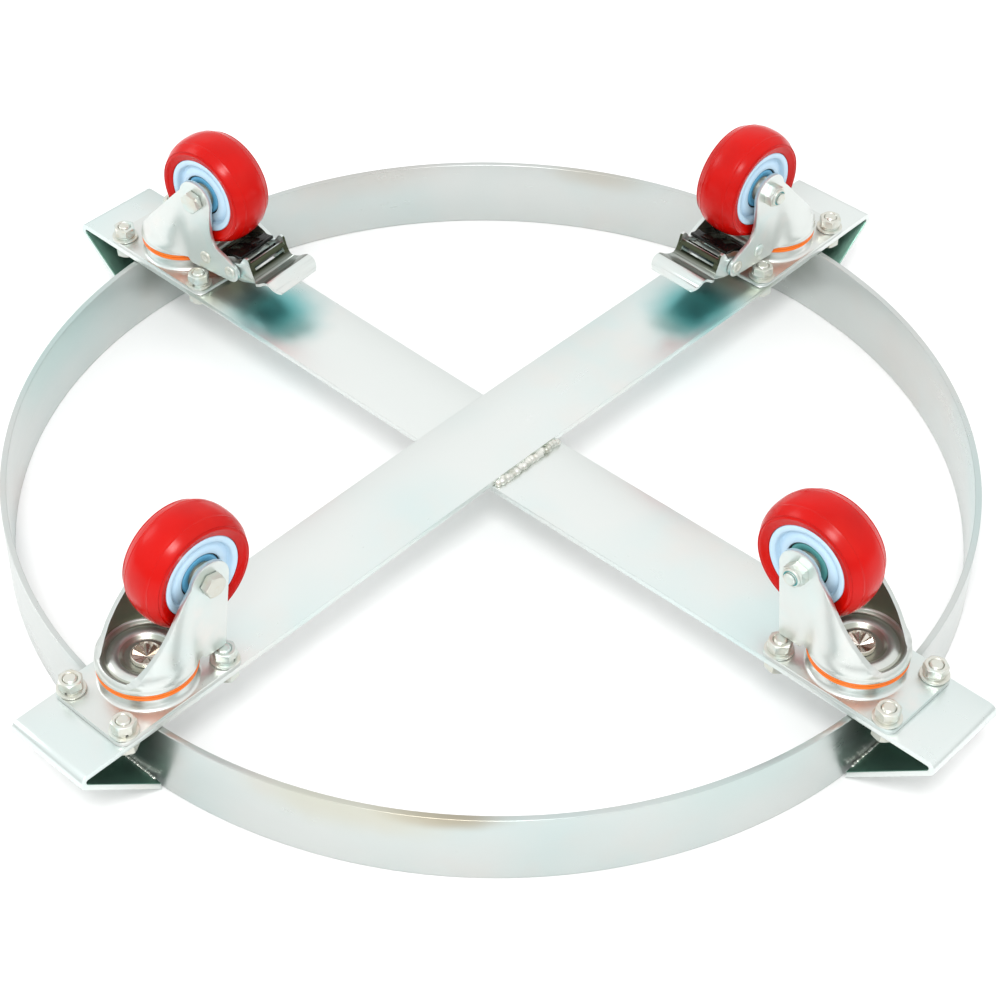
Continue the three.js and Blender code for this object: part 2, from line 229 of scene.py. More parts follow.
def turned(name, profile, steps=None, closed=True):
    """A piece turned about Z from a profile of (radius, height) points."""
    piece = drawn_line(name, [(radius, 0, height) for radius, height in profile], closed)
    edit(piece)
    bpy.ops.mesh.select_all(action="SELECT")
    bpy.ops.mesh.spin(steps=steps or sizes().round_steps, angle=math.tau, center=(0, 0, 0), axis=(0, 0, 1))
    return tidy_shell(piece)


def filled(name, points):
    """A closed outline with its face, left in edit mode with all of it selected."""
    piece = drawn_line(name, points, closed=True)
    edit(piece)
    bpy.ops.mesh.select_all(action="SELECT")
    bpy.ops.mesh.edge_face_add()
    bpy.ops.mesh.select_all(action="SELECT")
    return piece


def rod(name, radius, bottom, top, steps=32):
    """A plain round bar, used whole or as a cutter."""
    return turned(name, [(0, bottom), (radius, bottom), (radius, top), (0, top)], steps, closed=False)


def band(name, inner, outer, bottom, top, steps):
    """A plain square-edged ring."""
    return turned(name, [(inner, bottom), (outer, bottom), (outer, top), (inner, top)], steps)


def slab(name, outline, start, depth):
    """An outline in x and z, filled and drawn out along y."""
    piece = filled(name, [(x, start, z) for x, z in outline])
    bpy.ops.mesh.extrude_region_move(TRANSFORM_OT_translate={"value": (0, depth, 0)})
    return tidy_shell(piece)


def plan_slab(name, outline, start, depth):
    """An outline in x and y, filled and drawn out along z."""
    piece = filled(name, [(x, y, start) for x, y in outline])
    bpy.ops.mesh.extrude_region_move(TRANSFORM_OT_translate={"value": (0, 0, depth)})
    return tidy_shell(piece)


def apply_modifier(piece, kind, **settings):
    make_active(piece)
    modifier = piece.modifiers.new(kind.title(), kind)
    for setting, value in settings.items():
        setattr(modifier, setting, value)
    bpy.ops.object.modifier_apply(modifier=modifier.name)
    return piece


def combined(piece, tool, operation="UNION"):
    """Joins, cuts or trims a piece with a tool, which is used up."""
    apply_modifier(piece, "BOOLEAN", object=tool, operation=operation, solver="EXACT")
    bpy.data.objects.remove(tool)
    return piece


def softened(piece, width, angle=50, smooth=40):
    """Rounds the sharp edges and shades the rest smooth."""
    apply_modifier(
        piece, "BEVEL", width=width, segments=2, limit_method="ANGLE", angle_limit=math.radians(angle),
        miter_outer="MITER_ARC", use_clamp_overlap=True,
    )
    return smoothed(piece, smooth)


def smoothed(piece, angle=40):
    make_active(piece)
    bpy.ops.object.shade_smooth_by_angle(angle=math.radians(angle))
    return piece


def moved(piece, matrix):
    piece.data.transform(matrix)
    if matrix.determinant() < 0:
        piece.data.flip_normals()
    piece.data.update()
    return piece


def copied(piece, name):
    twin = piece.copy()
    twin.data = piece.data.copy()
    twin.name = name
    bpy.context.collection.objects.link(twin)
    return twin


def joined(name, pieces):
    """Several separate shells kept as one object."""
    make_active(pieces[0])
    for piece in pieces:
        piece.select_set(True)
    bpy.ops.object.join()
    pieces[0].name = name
    return pieces[0]


def add_ball(radius, place, scale=(1, 1, 1)):
    deselect_all()
    bpy.ops.mesh.primitive_uv_sphere_add(segments=16, ring_count=10, radius=radius, location=place)
    ball = bpy.context.object
    ball.scale = scale
    bpy.ops.object.transform_apply(location=True, rotation=True, scale=True)
    return ball


def arc(x, z, radius, start, end, steps):
    """Points along an arc, with the angles in degrees."""
    angles = [math.radians(start + (end - start) * i / steps) for i in range(steps + 1)]
    return [(x + radius * math.cos(a), z + radius * math.sin(a)) for a in angles]


def castor_matrix(castor, swivels=True):
    """From a castor's own millimetres to the row frame. The plate keeps square to its bar, and the fork trails."""
    place, trail = swivel_place(castor)
    heading = trail if swivels else place
    turn = Matrix.Rotation(math.atan2(heading.y, heading.x), 4, "Z")
    return Matrix.Translation((place.x, place.y, BAR_TOP * MM)) @ turn @ Matrix.Scale(MM, 4)


AXLE_TURN = Matrix.Translation((AXLE_TRAIL, 0, AXLE_HEIGHT)) @ Matrix.Rotation(math.radians(-90), 4, "X")


def settle(piece, matrix, body, finish, replaces=()):
    """Puts a finished piece in its place on its body, with its finish."""
    moved(piece, matrix)
    piece.data.materials.clear()
    piece.data.materials.append(finish)
    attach(piece, body)
    if replaces:
        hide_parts(*replaces)
    return piece


def settle_on_castors(pattern, label, part, finish, castors=CASTORS, node=None, places=None):
    """Copies a pattern piece to each castor. The part is frame, swivel, wheel, pedal or shoe."""
    for castor in castors:
        for number, place in enumerate(places or [Matrix.Identity(4)], start=1):
            suffix = f"_{number}" if places else ""
            piece = copied(pattern, f"{castor}_{label}{suffix}")
            body = "frame" if part == "frame" else f"{castor}_{part}"
            nodes = [f"{castor}_{node}{suffix}"] if node else []
            matrix = castor_matrix(castor, swivels=part != "frame") @ place
            settle(piece, matrix, body, finish, nodes)
    bpy.data.objects.remove(pattern)


# Finishes


def feed(tree, socket, value):
    """Links a socket to another one, or sets it to a plain value."""
    if isinstance(value, bpy.types.NodeSocket):
        tree.links.new(value, socket)
    else:
        socket.default_value = value


def new_node(tree, kind, inputs, **settings):
    """Adds a node, sets its properties and feeds its inputs, given by label or by number."""
    node = tree.nodes.new(kind)
    for setting, value in settings.items():
        setattr(node, setting, value)
    for socket, value in inputs.items():
        feed(tree, node.inputs[socket], value)
    return node


def calculated(tree, operation, first, second):
    return new_node(tree, "ShaderNodeMath", {0: first, 1: second}, operation=operation).outputs[0]


def noise(tree, vector, scale, detail=3.0, roughness=0.55):
    inputs = {"Vector": vector, "Scale": scale, "Detail": detail, "Roughness": roughness}
    return new_node(tree, "ShaderNodeTexNoise", inputs).outputs["Fac"]


def remap(tree, value, low, high, to_low=0.0, to_high=1.0, easing="LINEAR"):
    inputs = {"Value": value, "From Min": low, "From Max": high, "To Min": to_low, "To Max": to_high}
    return new_node(tree, "ShaderNodeMapRange", inputs, interpolation_type=easing).outputs["Result"]


def blend(tree, amount, first, second):
    """Mixes two colours. Each may be a socket or a plain colour."""
    first, second = (
        colour if isinstance(colour, bpy.types.NodeSocket) else (*colour[:3], 1) for colour in (first, second)
    )
    return new_node(tree, "ShaderNodeMix", {0: amount, 6: first, 7: second}, data_type="RGBA").outputs[2]


def new_group(name, inputs, outputs):
    """A shader group. An input's default tells its kind: a number, a vector of three or a colour of four."""
    group = bpy.data.node_groups.new(name, "ShaderNodeTree")
    for label, default in inputs.items():
        kind = "Float" if isinstance(default, float) else {3: "Vector", 4: "Color"}[len(default)]
        socket = group.interface.new_socket(label, in_out="INPUT", socket_type=f"NodeSocket{kind}")
        socket.default_value = default
    for label, kind in outputs.items():
        group.interface.new_socket(label, in_out="OUTPUT", socket_type=f"NodeSocket{kind}")
    start = group.nodes.new("NodeGroupInput")
    end = group.nodes.new("NodeGroupOutput")
    return group, start.outputs, end.inputs


def bloom_group(name):
    """Soft clouds of a cool and a warm tint over a base colour, as thin plating and passivation give."""
    group, given, out = new_group(
        name,
        {
            "Vector": (0, 0, 0), "Base": (0.85, 0.85, 0.85, 1), "Cool": (0.6, 0.75, 0.75, 1),
            "Warm": (0.9, 0.8, 0.75, 1), "Scale": 8.0, "Amount": 0.6,
        },
        {"Colour": "Color"},
    )
    colour = given["Base"]
    for tint, speed, detail, low, high in (("Cool", 1.0, 2.0, 0.46, 0.72), ("Warm", 1.7, 3.0, 0.54, 0.76)):
        scale = calculated(group, "MULTIPLY", given["Scale"], speed)
        cloud = remap(group, noise(group, given["Vector"], scale, detail), low, high)
        colour = blend(group, calculated(group, "MULTIPLY", cloud, given["Amount"]), colour, given[tint])
    group.links.new(colour, out["Colour"])
    return group


def grain_group(name):
    """Uneven roughness and a fine height from a fast noise over a slow one."""
    group, given, out = new_group(
        name,
        {"Vector": (0, 0, 0), "Scale": 200.0, "Smooth": 0.2, "Dull": 0.4},
        {"Roughness": "Float", "Height": "Float"},
    )
    slow = calculated(group, "MULTIPLY", given["Scale"], 0.08)
    fine = noise(group, given["Vector"], given["Scale"], 5.0, 0.65)
    patches = noise(group, given["Vector"], slow, 3.0, 0.6)
    fine_part = calculated(group, "MULTIPLY", fine, 0.45)
    both = calculated(group, "ADD", fine_part, calculated(group, "MULTIPLY", patches, 0.55))
    group.links.new(remap(group, both, 0.36, 0.64, given["Smooth"], given["Dull"]), out["Roughness"])
    group.links.new(fine, out["Height"])
    return group


def stain_and_painted_light_group(name):
    """A soft oval patch round a centre, with a slightly wandering edge, for stains and for painted shade and
    reflection.
    """
    group, given, out = new_group(
        name,
        {"Vector": (0, 0, 0), "Centre": (0, 0, 0), "Radii": (0.05, 0.05, 0.05), "Amount": 1.0},
        {"Stain": "Float"},
    )
    kind = "ShaderNodeVectorMath"
    away = new_node(group, kind, {0: given["Vector"], 1: given["Centre"]}, operation="SUBTRACT")
    scaled = new_node(group, kind, {0: away.outputs[0], 1: given["Radii"]}, operation="DIVIDE")
    length = new_node(group, kind, {0: scaled.outputs[0]}, operation="LENGTH").outputs["Value"]
    wander = remap(group, noise(group, given["Vector"], 30.0, 2.0), 0.3, 0.7, -0.06, 0.06)
    fall = remap(group, calculated(group, "ADD", length, wander), 0.1, 1.0, 1.0, 0.0, easing="SMOOTHERSTEP")
    group.links.new(calculated(group, "MULTIPLY", fall, given["Amount"]), out["Stain"])
    return group


def place_group(tree, name, maker, inputs):
    """Places a shared group, which is made when it is first wanted."""
    group = bpy.data.node_groups.get(name) or maker(name)
    return new_node(tree, "ShaderNodeGroup", inputs, node_tree=group).outputs


def finish(
    name, base, cool=None, warm=None, metallic=0.0, smooth=0.2, dull=0.4, cloud_scale=8.0, cloud_amount=0.6,
    grain_scale=200.0, stretch=(1, 1, 1), bump=0.02, painted_shade_colour=None, specular=0.5, patches=(),
):
    """A finish with clouded colour, uneven gloss and a fine grain. The shade colour is painted shade that the
    piece's own per-face attribute brings in, and the patches are soft stains and patches of painted shade and
    painted
    reflection: (centre, radii, colour, amount)."""
    material = bpy.data.materials.get(name)
    if material is not None:
        return material
    material = bpy.data.materials.new(name)
    material.use_nodes = True
    tree = material.node_tree
    shader = tree.nodes["Principled BSDF"].inputs
    place = tree.nodes.new("ShaderNodeTexCoord").outputs["Object"]
    mapping = new_node(tree, "ShaderNodeMapping", {"Vector": place, "Scale": stretch})
    inputs = {"Vector": place, "Scale": cloud_scale, "Amount": cloud_amount}
    for label, tint in (("Base", base), ("Cool", cool or base), ("Warm", warm or base)):
        inputs[label] = (*tint, 1)
    colour = place_group(tree, "Plating bloom", bloom_group, inputs)["Colour"]
    # Patches blend stains, painted shade and painted reflection into the colour.
    for centre, radii, tint, amount in patches:
        inputs = {"Vector": place, "Centre": centre, "Radii": radii, "Amount": amount}
        colour = blend(tree, place_group(tree, "Soft stain", stain_and_painted_light_group, inputs)["Stain"], colour, tint)
    # Painted shade: the shade colour is blended in wherever the piece's face attribute asks for it.
    if painted_shade_colour:
        painted_shade = new_node(tree, "ShaderNodeAttribute", {}, attribute_name="painted_shade")
        colour = blend(tree, painted_shade.outputs["Fac"], colour, painted_shade_colour)
    inputs = {"Vector": mapping.outputs["Vector"], "Scale": grain_scale, "Smooth": smooth, "Dull": dull}
    grain = place_group(tree, "Surface grain", grain_group, inputs)
    relief = new_node(tree, "ShaderNodeBump", {"Strength": bump, "Distance": MM, "Height": grain["Height"]})
    for label, value in (
        ("Base Color", colour), ("Roughness", grain["Roughness"]), ("Normal", relief.outputs["Normal"]),
        ("Metallic", metallic), ("Specular IOR Level", specular),
    ):
        feed(tree, shader[label], value)
    return material


def zinc_strip(name, stretch, brightness=1.0, patches=()):
    """Rolled strip: long faint streaks along the strip under the bright plate."""
    palette = colours()
    tints = (palette.zinc, palette.zinc_cool, palette.zinc_warm)
    base, cool, warm = (tuple(brightness * part for part in tint) for tint in tints)
    # The shade colour is the dark teal of the painted shade inside the gussets.
    return finish(
        name, base, cool, warm, metallic=0.9, smooth=0.27, dull=0.36, cloud_scale=7.0, cloud_amount=0.75,
        grain_scale=90.0, stretch=stretch, bump=0.006, painted_shade_colour=(0.16, 0.30, 0.24), patches=patches,
    )


# Its shade colour is the olive of the painted shade on the forks' inner faces and in the groove of the base.
def zinc_pressing(name="bright zinc pressing", painted_shade_colour=(0.25, 0.265, 0.17)):
    palette = colours()
    return finish(
        name, (0.70, 0.735, 0.71), palette.zinc_cool, palette.zinc_warm, metallic=0.86, smooth=0.27,
        dull=0.36, cloud_scale=26.0, cloud_amount=0.6, grain_scale=300.0, bump=0.008, painted_shade_colour=painted_shade_colour,
    )


def bright_fastener():
    return finish(
        "bright zinc fastener", (0.66, 0.665, 0.60), colours().zinc_cool, (0.60, 0.55, 0.42), metallic=0.72,
        smooth=0.33, dull=0.42, cloud_scale=70.0, cloud_amount=0.7, grain_scale=300.0, bump=0.004,
    )


def black_plate():
    return finish(
        "black stamped plate", (0.004, 0.004, 0.004), (0.008, 0.011, 0.008), (0.014, 0.012, 0.007), smooth=0.14,
        dull=0.3, cloud_scale=90.0, cloud_amount=0.7, grain_scale=400.0, bump=0.02, specular=0.25,
    )


def red_polyurethane():
    return finish(
        "red polyurethane", colours().tread, (0.36, 0.002, 0.001), (0.58, 0.010, 0.004), smooth=0.19, dull=0.27,
        cloud_scale=22.0, cloud_amount=0.5, grain_scale=160.0, bump=0.006, specular=0.2,
    )


def moulding(name, base, cool, warm, smooth=0.32, dull=0.45, cloud_scale=60.0, cloud_amount=0.4, grain_scale=400.0,
             specular=0.35):
    """A plain moulded plastic."""
    return finish(
        name, base, cool, warm, smooth=smooth, dull=dull, cloud_scale=cloud_scale, cloud_amount=cloud_amount,
        grain_scale=grain_scale, bump=0.01, specular=specular,
    )


def pale_plastic():
    return moulding(
        "pale blue plastic", colours().core, (0.46, 0.67, 0.86), (0.66, 0.82, 0.93), smooth=0.30, dull=0.42,
        cloud_scale=40.0, cloud_amount=0.3, grain_scale=300.0,
    )


def blue_shield():
    return moulding("blue bearing shield", colours().shield, (0.10, 0.38, 0.62), (0.20, 0.52, 0.74))


def teal_shield():
    return moulding("teal bearing shield", (0.10, 0.36, 0.36), (0.06, 0.28, 0.30), (0.18, 0.44, 0.42))


def orange_plastic():
    return moulding(
        "orange dust seal", colours().seal, (0.82, 0.15, 0.012), (0.95, 0.28, 0.03), dull=0.46, cloud_scale=50.0,
        specular=0.3,
    )


# Ring, bars and welds


def bar_middle_line(rise):
    """The middle of a bar in side view, from one foot of the flaps to the other."""
    half = []
    bow_steps = 24
    for i in range(bow_steps + 1):
        share = i / bow_steps
        half.append((BOW_SPAN * share, BAR_MIDDLE + rise * math.cos(share * math.pi / 2) ** 2))
    fold_x = BAR_REACH - FOLD_RADIUS - BAR_THICKNESS / 2
    fold_z = BAR_MIDDLE - FOLD_RADIUS
    half += arc(fold_x, fold_z, FOLD_RADIUS, 90, math.degrees(FLAP_SLOPE) - 90, 14)
    flap_x, flap_z = half[-1]
    foot_x = RING_OUTER + GAP
    half.append((foot_x, flap_z - (flap_x - foot_x) * math.tan(FLAP_SLOPE)))
    return [(-x, z) for x, z in reversed(half[1:])] + half


def strip_outline(middle, thickness, cut_vertical=False):
    """Both faces of a bent strip, as one closed outline."""
    left, right = [], []
    last = len(middle) - 1
    for i, (x, z) in enumerate(middle):
        along = (Vector(middle[min(i + 1, last)]) - Vector(middle[max(i - 1, 0)])).normalized()
        half = thickness / 2
        step = Vector((-along.y * half, along.x * half))
        if cut_vertical and i in (0, last):
            step = Vector((0, half / along.x))
        left.append((x + step.x, z + step.y))
        right.append((x - step.x, z - step.y))
    return right + left[::-1]


def shade_faces(piece, amount):
    """Stores on each face how much painted shade it gets, from its place and the way it faces."""
    painted_shade = piece.data.attributes.new("painted_shade", "FLOAT", "FACE")
    for face in piece.data.polygons:
        painted_shade.data[face.index].value = amount(face.center, face.normal)


def weld_bead(name, start, end, radius, seed, wobble=0.35):
    """A row of overlapping weld ripples, fused into one bead."""
    rand = random.Random(seed)
    start, end = Vector(start), Vector(end)
    count = max(3, round((end - start).length / sizes().bead_step))
    ripples = []
    for i in range(count):
        place = start.lerp(end, i / (count - 1))
        sway = [rand.uniform(-wobble, wobble) for _ in range(3)]
        place += Vector((sway[0], sway[1], sway[2] / 2))
        ripples.append(add_ball(radius, place, [rand.uniform(0.85, 1.15) for _ in range(3)]))
    bead = joined(name, ripples)
    apply_modifier(bead, "REMESH", mode="VOXEL", voxel_size=0.45)
    return smoothed(bead, 80)


class BuildRing(bpy.types.Operator):
    """Rolled drum ring with rounded edges."""

    bl_idname = "dolly.build_ring"
    bl_label = "Drum ring"

    def execute(self, context):
        edge = sizes().edge
        inner = RING_OUTER - RING_WALL
        profile = [
            *arc(inner + edge, edge, edge, 180, 270, 3),
            *arc(RING_OUTER - edge, edge, edge, 270, 360, 3),
            *arc(RING_OUTER - edge, RING_HEIGHT - edge, edge, 0, 90, 3),
            *arc(inner + edge, RING_HEIGHT - edge, edge, 90, 180, 3),
        ]
        ring = smoothed(turned("drum_ring", profile, steps=240))
        settle(ring, Matrix.Scale(MM, 4), "frame", self.ring_finish(), ["ring_band"])
        return {"FINISHED"}

    def ring_finish(self):
        """Painted shade: the ring is a dimmed copy of the bar zinc, darker than the bars, and darkest in front of
        the gussets, where patches of painted shade lie.
        """
        # Patches of painted shade at the four places where the gussets meet the ring.
        dark = (0.10, 0.12, 0.09)
        reach = RING_OUTER * MM
        patches = [
            ((x * reach, y * reach, RING_HEIGHT * MM), (0.055, 0.055, 0.05), dark, 0.8)
            for x, y in ((1, 0), (-1, 0), (0, 1), (0, -1))
        ]
        reach -= RING_WALL * MM
        for turn, radii, tint, amount in (
            (-52, (0.05, 0.05, 0.012), (0.34, 0.27, 0.17), 0.75),
            (-62, (0.09, 0.09, 0.03), (0.55, 0.53, 0.42), 0.6),
            (-20, (0.08, 0.08, 0.04), (0.50, 0.62, 0.60), 0.5),
            (118, (0.05, 0.05, 0.02), (0.48, 0.42, 0.34), 0.5),
            (150, (0.08, 0.08, 0.03), (0.56, 0.50, 0.46), 0.5),
            (35, (0.10, 0.10, 0.04), (0.50, 0.63, 0.62), 0.6),
            (205, (0.10, 0.10, 0.04), (0.45, 0.60, 0.58), 0.6),
        ):
            turn = math.radians(turn)
            centre = (reach * math.cos(turn), reach * math.sin(turn), RING_HEIGHT * MM)
            patches.append((centre, radii, tint, amount))
        return zinc_strip("zinc ring strip", (1, 1, 6), 0.78, patches)


class BuildCrossbars(bpy.types.Operator):
    """The two crossed bars with their folded ends."""

    bl_idname = "dolly.build_crossbars"
    bl_label = "Crossbars"

    def execute(self, context):
        # The teal patches on the bar tops are painted reflection, and the olive ones beside them painted shade.
        teal, olive = (0.05, 0.42, 0.43), (0.38, 0.42, 0.32)
        top = BAR_TOP * MM
        bars = (
            ("lower_bar", "crossbar_lower", -BOW_RISE, 0, (1, 5, 5), [
                ((-0.190, -0.004, top), (0.050, 0.045, 0.02), teal, 0.9),
                ((-0.236, -0.010, top), (0.030, 0.040, 0.02), olive, 0.8),
            ]),
            ("upper_bar", "crossbar_upper", BOW_RISE, 90, (5, 1, 5), [
                ((0.010, 0.192, top), (0.045, 0.050, 0.02), teal, 0.9),
                ((0.016, 0.236, top), (0.040, 0.030, 0.02), olive, 0.7),
            ]),
        )
        for name, node, rise, turn, stretch, patches in bars:
            outline = strip_outline(bar_middle_line(rise), BAR_THICKNESS, cut_vertical=True)
            bar = slab(name, outline, -BAR_HALF_WIDTH, 2 * BAR_HALF_WIDTH)
            softened(bar, sizes().edge)
            matrix = Matrix.Rotation(math.radians(turn), 4, "Z") @ Matrix.Scale(MM, 4)
            settle(bar, matrix, "frame", zinc_strip(f"zinc {name}", stretch, patches=patches), [node])
            shade_faces(bar, self.painted_shade)
        return {"FINISHED"}

    def painted_shade(self, place, facing):
        """Painted shade: full inside the two gussets, where the light reaches least."""
        if max(abs(place.x), abs(place.y)) / MM <= RING_OUTER - 1 or place.z / MM >= BAR_TOP - 2:
            return 0.0
        inward = facing.to_2d().dot(place.to_2d()) < 0
        return 1.0 if facing.z < -0.9 or (inward and facing.z > 0.3) else 0.0


class BuildWelds(bpy.types.Operator):
    """Weld beads at the crossing, at the feet of the flaps and where the bars cross the ring."""

    bl_idname = "dolly.build_welds"
    bl_label = "Welds"

    def execute(self, context):
        metal = finish(
            "plated weld", (0.76, 0.77, 0.72), (0.36, 0.38, 0.30), (0.86, 0.82, 0.72), metallic=0.8, smooth=0.25,
            dull=0.42, cloud_scale=150.0, cloud_amount=0.9, grain_scale=600.0, bump=0.05,
        )
        low, high = box_mm("centre_weld")
        start, end = (low.x + 1.6, low.y + 1, low.z + 1.0), (low.x + 1.6, high.y - 1, low.z + 1.0)
        bead = weld_bead("crossing_weld", start, end, 2.6, seed=4, wobble=0.6)
        settle(bead, Matrix.Scale(MM, 4), "frame", metal, ["centre_weld"])
        for number, castor in enumerate(CASTORS):
            place = swivel_place(castor)[0]
            turn = Matrix.Rotation(math.atan2(place.y, place.x), 4, "Z") @ Matrix.Scale(MM, 4)
            for label, reach, half, height, seed in (
                ("foot", RING_OUTER + 1.0, 24, 5.4, 10),
                ("rim", RING_OUTER - RING_WALL - 1.0, 26, RING_HEIGHT - 0.9, 20),
            ):
                start, end = (reach, -half, height), (reach, half, height)
                bead = weld_bead(f"{castor}_{label}_weld", start, end, 1.5, seed=seed + number)
                settle(bead, turn, "frame", metal)
        return {"FINISHED"}


# Castor: fixed pieces


def rounded_rectangle(half_x, half_y, radius, steps=6):
    points = []
    for sx, sy, start in ((1, 1, 0), (-1, 1, 90), (-1, -1, 180), (1, -1, 270)):
        points += arc(sx * (half_x - radius), sy * (half_y - radius), radius, start, start + 90, steps)
    return points


class BuildPlates(bpy.types.Operator):
    """Mounting plates with their pressed raceway domes."""

    bl_idname = "dolly.build_plates"
    bl_label = "Mounting plates"

    def execute(self, context):
        low, high = box_mm("right_mounting_plate")
        bottom = low.z - BAR_TOP
        top = bottom + 3
        plate = plan_slab("plate", rounded_rectangle((high.x - low.x) / 2, 30, 6), bottom, top - bottom)
        combined(plate, rod("mouth", 27.5, bottom - 1, top + 1, 64), "DIFFERENCE")
        dome_profile = [
            (8, 8.5), (8, 10.9),
            *arc(24.6, 8.9, 2.1, 90, 12, 6),
            (26.9, 8.3), (27.0, 7.2), (27.15, 6.2), (27.5, 5.2), (28.1, 4.3), (28.9, 3.6), (29.7, top),
            (29.7, bottom), (26.2, bottom), (24.6, 1.6), (23.8, 4.4), (23.2, 7.4), (22.2, 8.5),
        ]
        combined(plate, turned("dome", dome_profile, 96))
        softened(plate, 0.35, angle=55)
        settle_on_castors(plate, "plate_pressing", "frame", zinc_pressing(), node="mounting_plate")
        return {"FINISHED"}


def hexagon_piece(name, bottom, top, chamfer_top=True, chamfer_bottom=True):
    """An M8 hexagon whose corners are turned off by a cone, as on a nut or a bolt head."""
    corner = M8_ACROSS_FLATS / 2 / math.cos(math.radians(30))
    middle = (bottom + top) / 2
    deselect_all()
    bpy.ops.mesh.primitive_cylinder_add(vertices=6, radius=corner, depth=top - bottom, location=(0, 0, middle))
    prism = bpy.context.object
    prism.name = name
    bpy.ops.object.transform_apply(location=True, rotation=True, scale=True)
    flat = M8_ACROSS_FLATS / 2 * 0.95
    fall = (corner * 1.05 - flat) * math.tan(math.radians(28))
    wide = corner * 1.05
    lower = [(flat, bottom), (wide, bottom + fall)] if chamfer_bottom else [(wide, bottom - 1)]
    upper = [(wide, top - fall), (flat, top)] if chamfer_top else [(wide, top + 1)]
    cone = [(0, lower[0][1]), *lower, *upper, (0, upper[-1][1])]
    combined(prism, turned("chamfer", cone, 72, closed=False), "INTERSECT")
    return prism


def thread_profile(bottom, top):
    """The outline of an M8 threaded end, from its foot to its chamfered tip."""
    radius, root, tip = M8_RADIUS, M8_RADIUS - 0.45, top - 0.8
    points = [(root, bottom)]
    height = bottom
    while height + M8_PITCH < tip:
        crest = height + M8_PITCH * 0.35
        points += [(radius, crest), (radius, height + M8_PITCH * 0.5), (root, height + M8_PITCH * 0.9)]
        height += M8_PITCH
    return points + [(radius - 0.1, tip), (radius - 0.9, top), (0, top)]


def crisp(piece):
    """Softens a nut or bolt and keeps its flats flat."""
    return softened(piece, 0.15, angle=50, smooth=14)


class BuildPlateFasteners(bpy.types.Operator):
    """Bolts, nuts, flat washers and spring washers that clamp the mounting plates to the bars."""

    bl_idname = "dolly.build_plate_fasteners"
    bl_label = "Plate fasteners"

    def execute(self, context):
        low, high = box_mm("right_plate_bolt_1")
        foot, tip = low.z - BAR_TOP, high.z - BAR_TOP
        seat = 3.6
        washer_top = seat + 1.5
        spring_top = washer_top + 1.5
        nut_top = 12.3
        places = [(1, -1), (1, 1), (-1, 1), (-1, -1)]
        matrices = [
            Matrix.Translation((i * BOLT_ALONG, j * BOLT_ACROSS, 0)) @ Matrix.Rotation(0.7 * n + 0.3, 4, "Z")
            for n, (i, j) in enumerate(places)
        ]
        bolt = hexagon_piece("bolt", foot, foot + 5.3, chamfer_top=False)
        shank = [(0, foot + 5), (M8_RADIUS, foot + 5), (M8_RADIUS, 3), *thread_profile(3, tip)]
        bolt = crisp(combined(bolt, turned("shank", shank, 32, closed=False)))
        nut = hexagon_piece("nut", spring_top, nut_top)
        bore = [
            (0, 0), (M8_BORE, 0), (M8_BORE, nut_top - 0.7), (M8_BORE + 0.75, nut_top + 0.2), (0, nut_top + 0.2),
        ]
        nut = crisp(combined(nut, turned("bore", bore, 32, closed=False), "DIFFERENCE"))
        washer = softened(band("washer", 4.3, 8.7, seat, washer_top - 0.05, 48), 0.3)
        metal = bright_fastener()
        for label, piece, node in (
            ("plate_bolt", bolt, "plate_bolt"),
            ("plate_nut", nut, None),
            ("plate_washer", washer, None),
            ("spring_washer", spring_washer(washer_top, spring_top - 0.05), None),
        ):
            settle_on_castors(piece, label, "frame", metal, node=node, places=matrices)
        return {"FINISHED"}


def spring_washer(bottom, top):
    """A square ring with a slanting split, nearly flattened."""
    profile = [(4.3, 0, bottom), (6.7, 0, bottom), (6.7, 0, top), (4.3, 0, top)]
    washer = filled("spring washer", profile)
    bpy.ops.mesh.spin(steps=44, angle=math.radians(346), center=(0, 0, 0), axis=(0, 0, 1))
    tidy_shell(washer)
    return softened(washer, 0.2)


class BuildKingpins(bpy.types.Operator):
    """Riveted kingpins, with a star pressed into the head."""

    bl_idname = "dolly.build_kingpins"
    bl_label = "Kingpins"

    def execute(self, context):
        points = sizes().star_points
        rim = 7.9
        profile = [
            (0, 17.6), (rim, 20.5), (8.5, 20.8), (9.0, 20.6), (9.2, 20.1), (9.2, 18.1), (6, 18.1), (6, 8.2),
            (10.6, 8.2), (11, 7.8), (11, 6.2), (10, 5.5), (0, 5.5),
        ]
        pin = turned("kingpin", profile, steps=points * 4, closed=False)
        step = math.tau / (points * 4)
        edit(pin)
        # Every fourth spoke of the star is a valley, and the odd ones stand half way up.
        for spokes, remainder, drop in ((4, 2, -1.5), (2, 1, -0.75)):
            select_corners(
                pin,
                lambda corner: abs(corner.co.to_2d().length - rim) < 0.05
                and round(math.atan2(corner.co.y, corner.co.x) / step) % spokes == remainder,
            )
            bpy.ops.transform.translate(value=(0, 0, drop))
        bpy.ops.object.mode_set(mode="OBJECT")
        smoothed(pin, 18)
        shade_faces(pin, lambda place, facing: self.facet_painted_shade(place, points))
        # The shade colour is the dark bronze of the painted shade on the star's facets.
        metal = finish(
            "pressed pin steel", (0.78, 0.74, 0.66), (0.70, 0.76, 0.74), (0.62, 0.46, 0.30), metallic=0.75,
            smooth=0.2, dull=0.34, cloud_scale=90.0, cloud_amount=0.5, grain_scale=400.0, bump=0.02,
            painted_shade_colour=(0.20, 0.135, 0.08),
        )
        settle_on_castors(pin, "kingpin_rivet", "frame", metal, node="kingpin")
        return {"FINISHED"}

    def facet_painted_shade(self, place, points):
        """Painted light and shade: the star's facets alternate between bright steel and bronze-brown,
        as light and shade fall on them.
        """
        if place.to_2d().length > 7.8:
            return 0.1
        sector = int((math.atan2(place.y, place.x) + math.pi) / math.tau * points * 2)
        return (0.9, 0.0, 0.7, 0.35, 0.0)[sector % 5]


# Castor: swivel


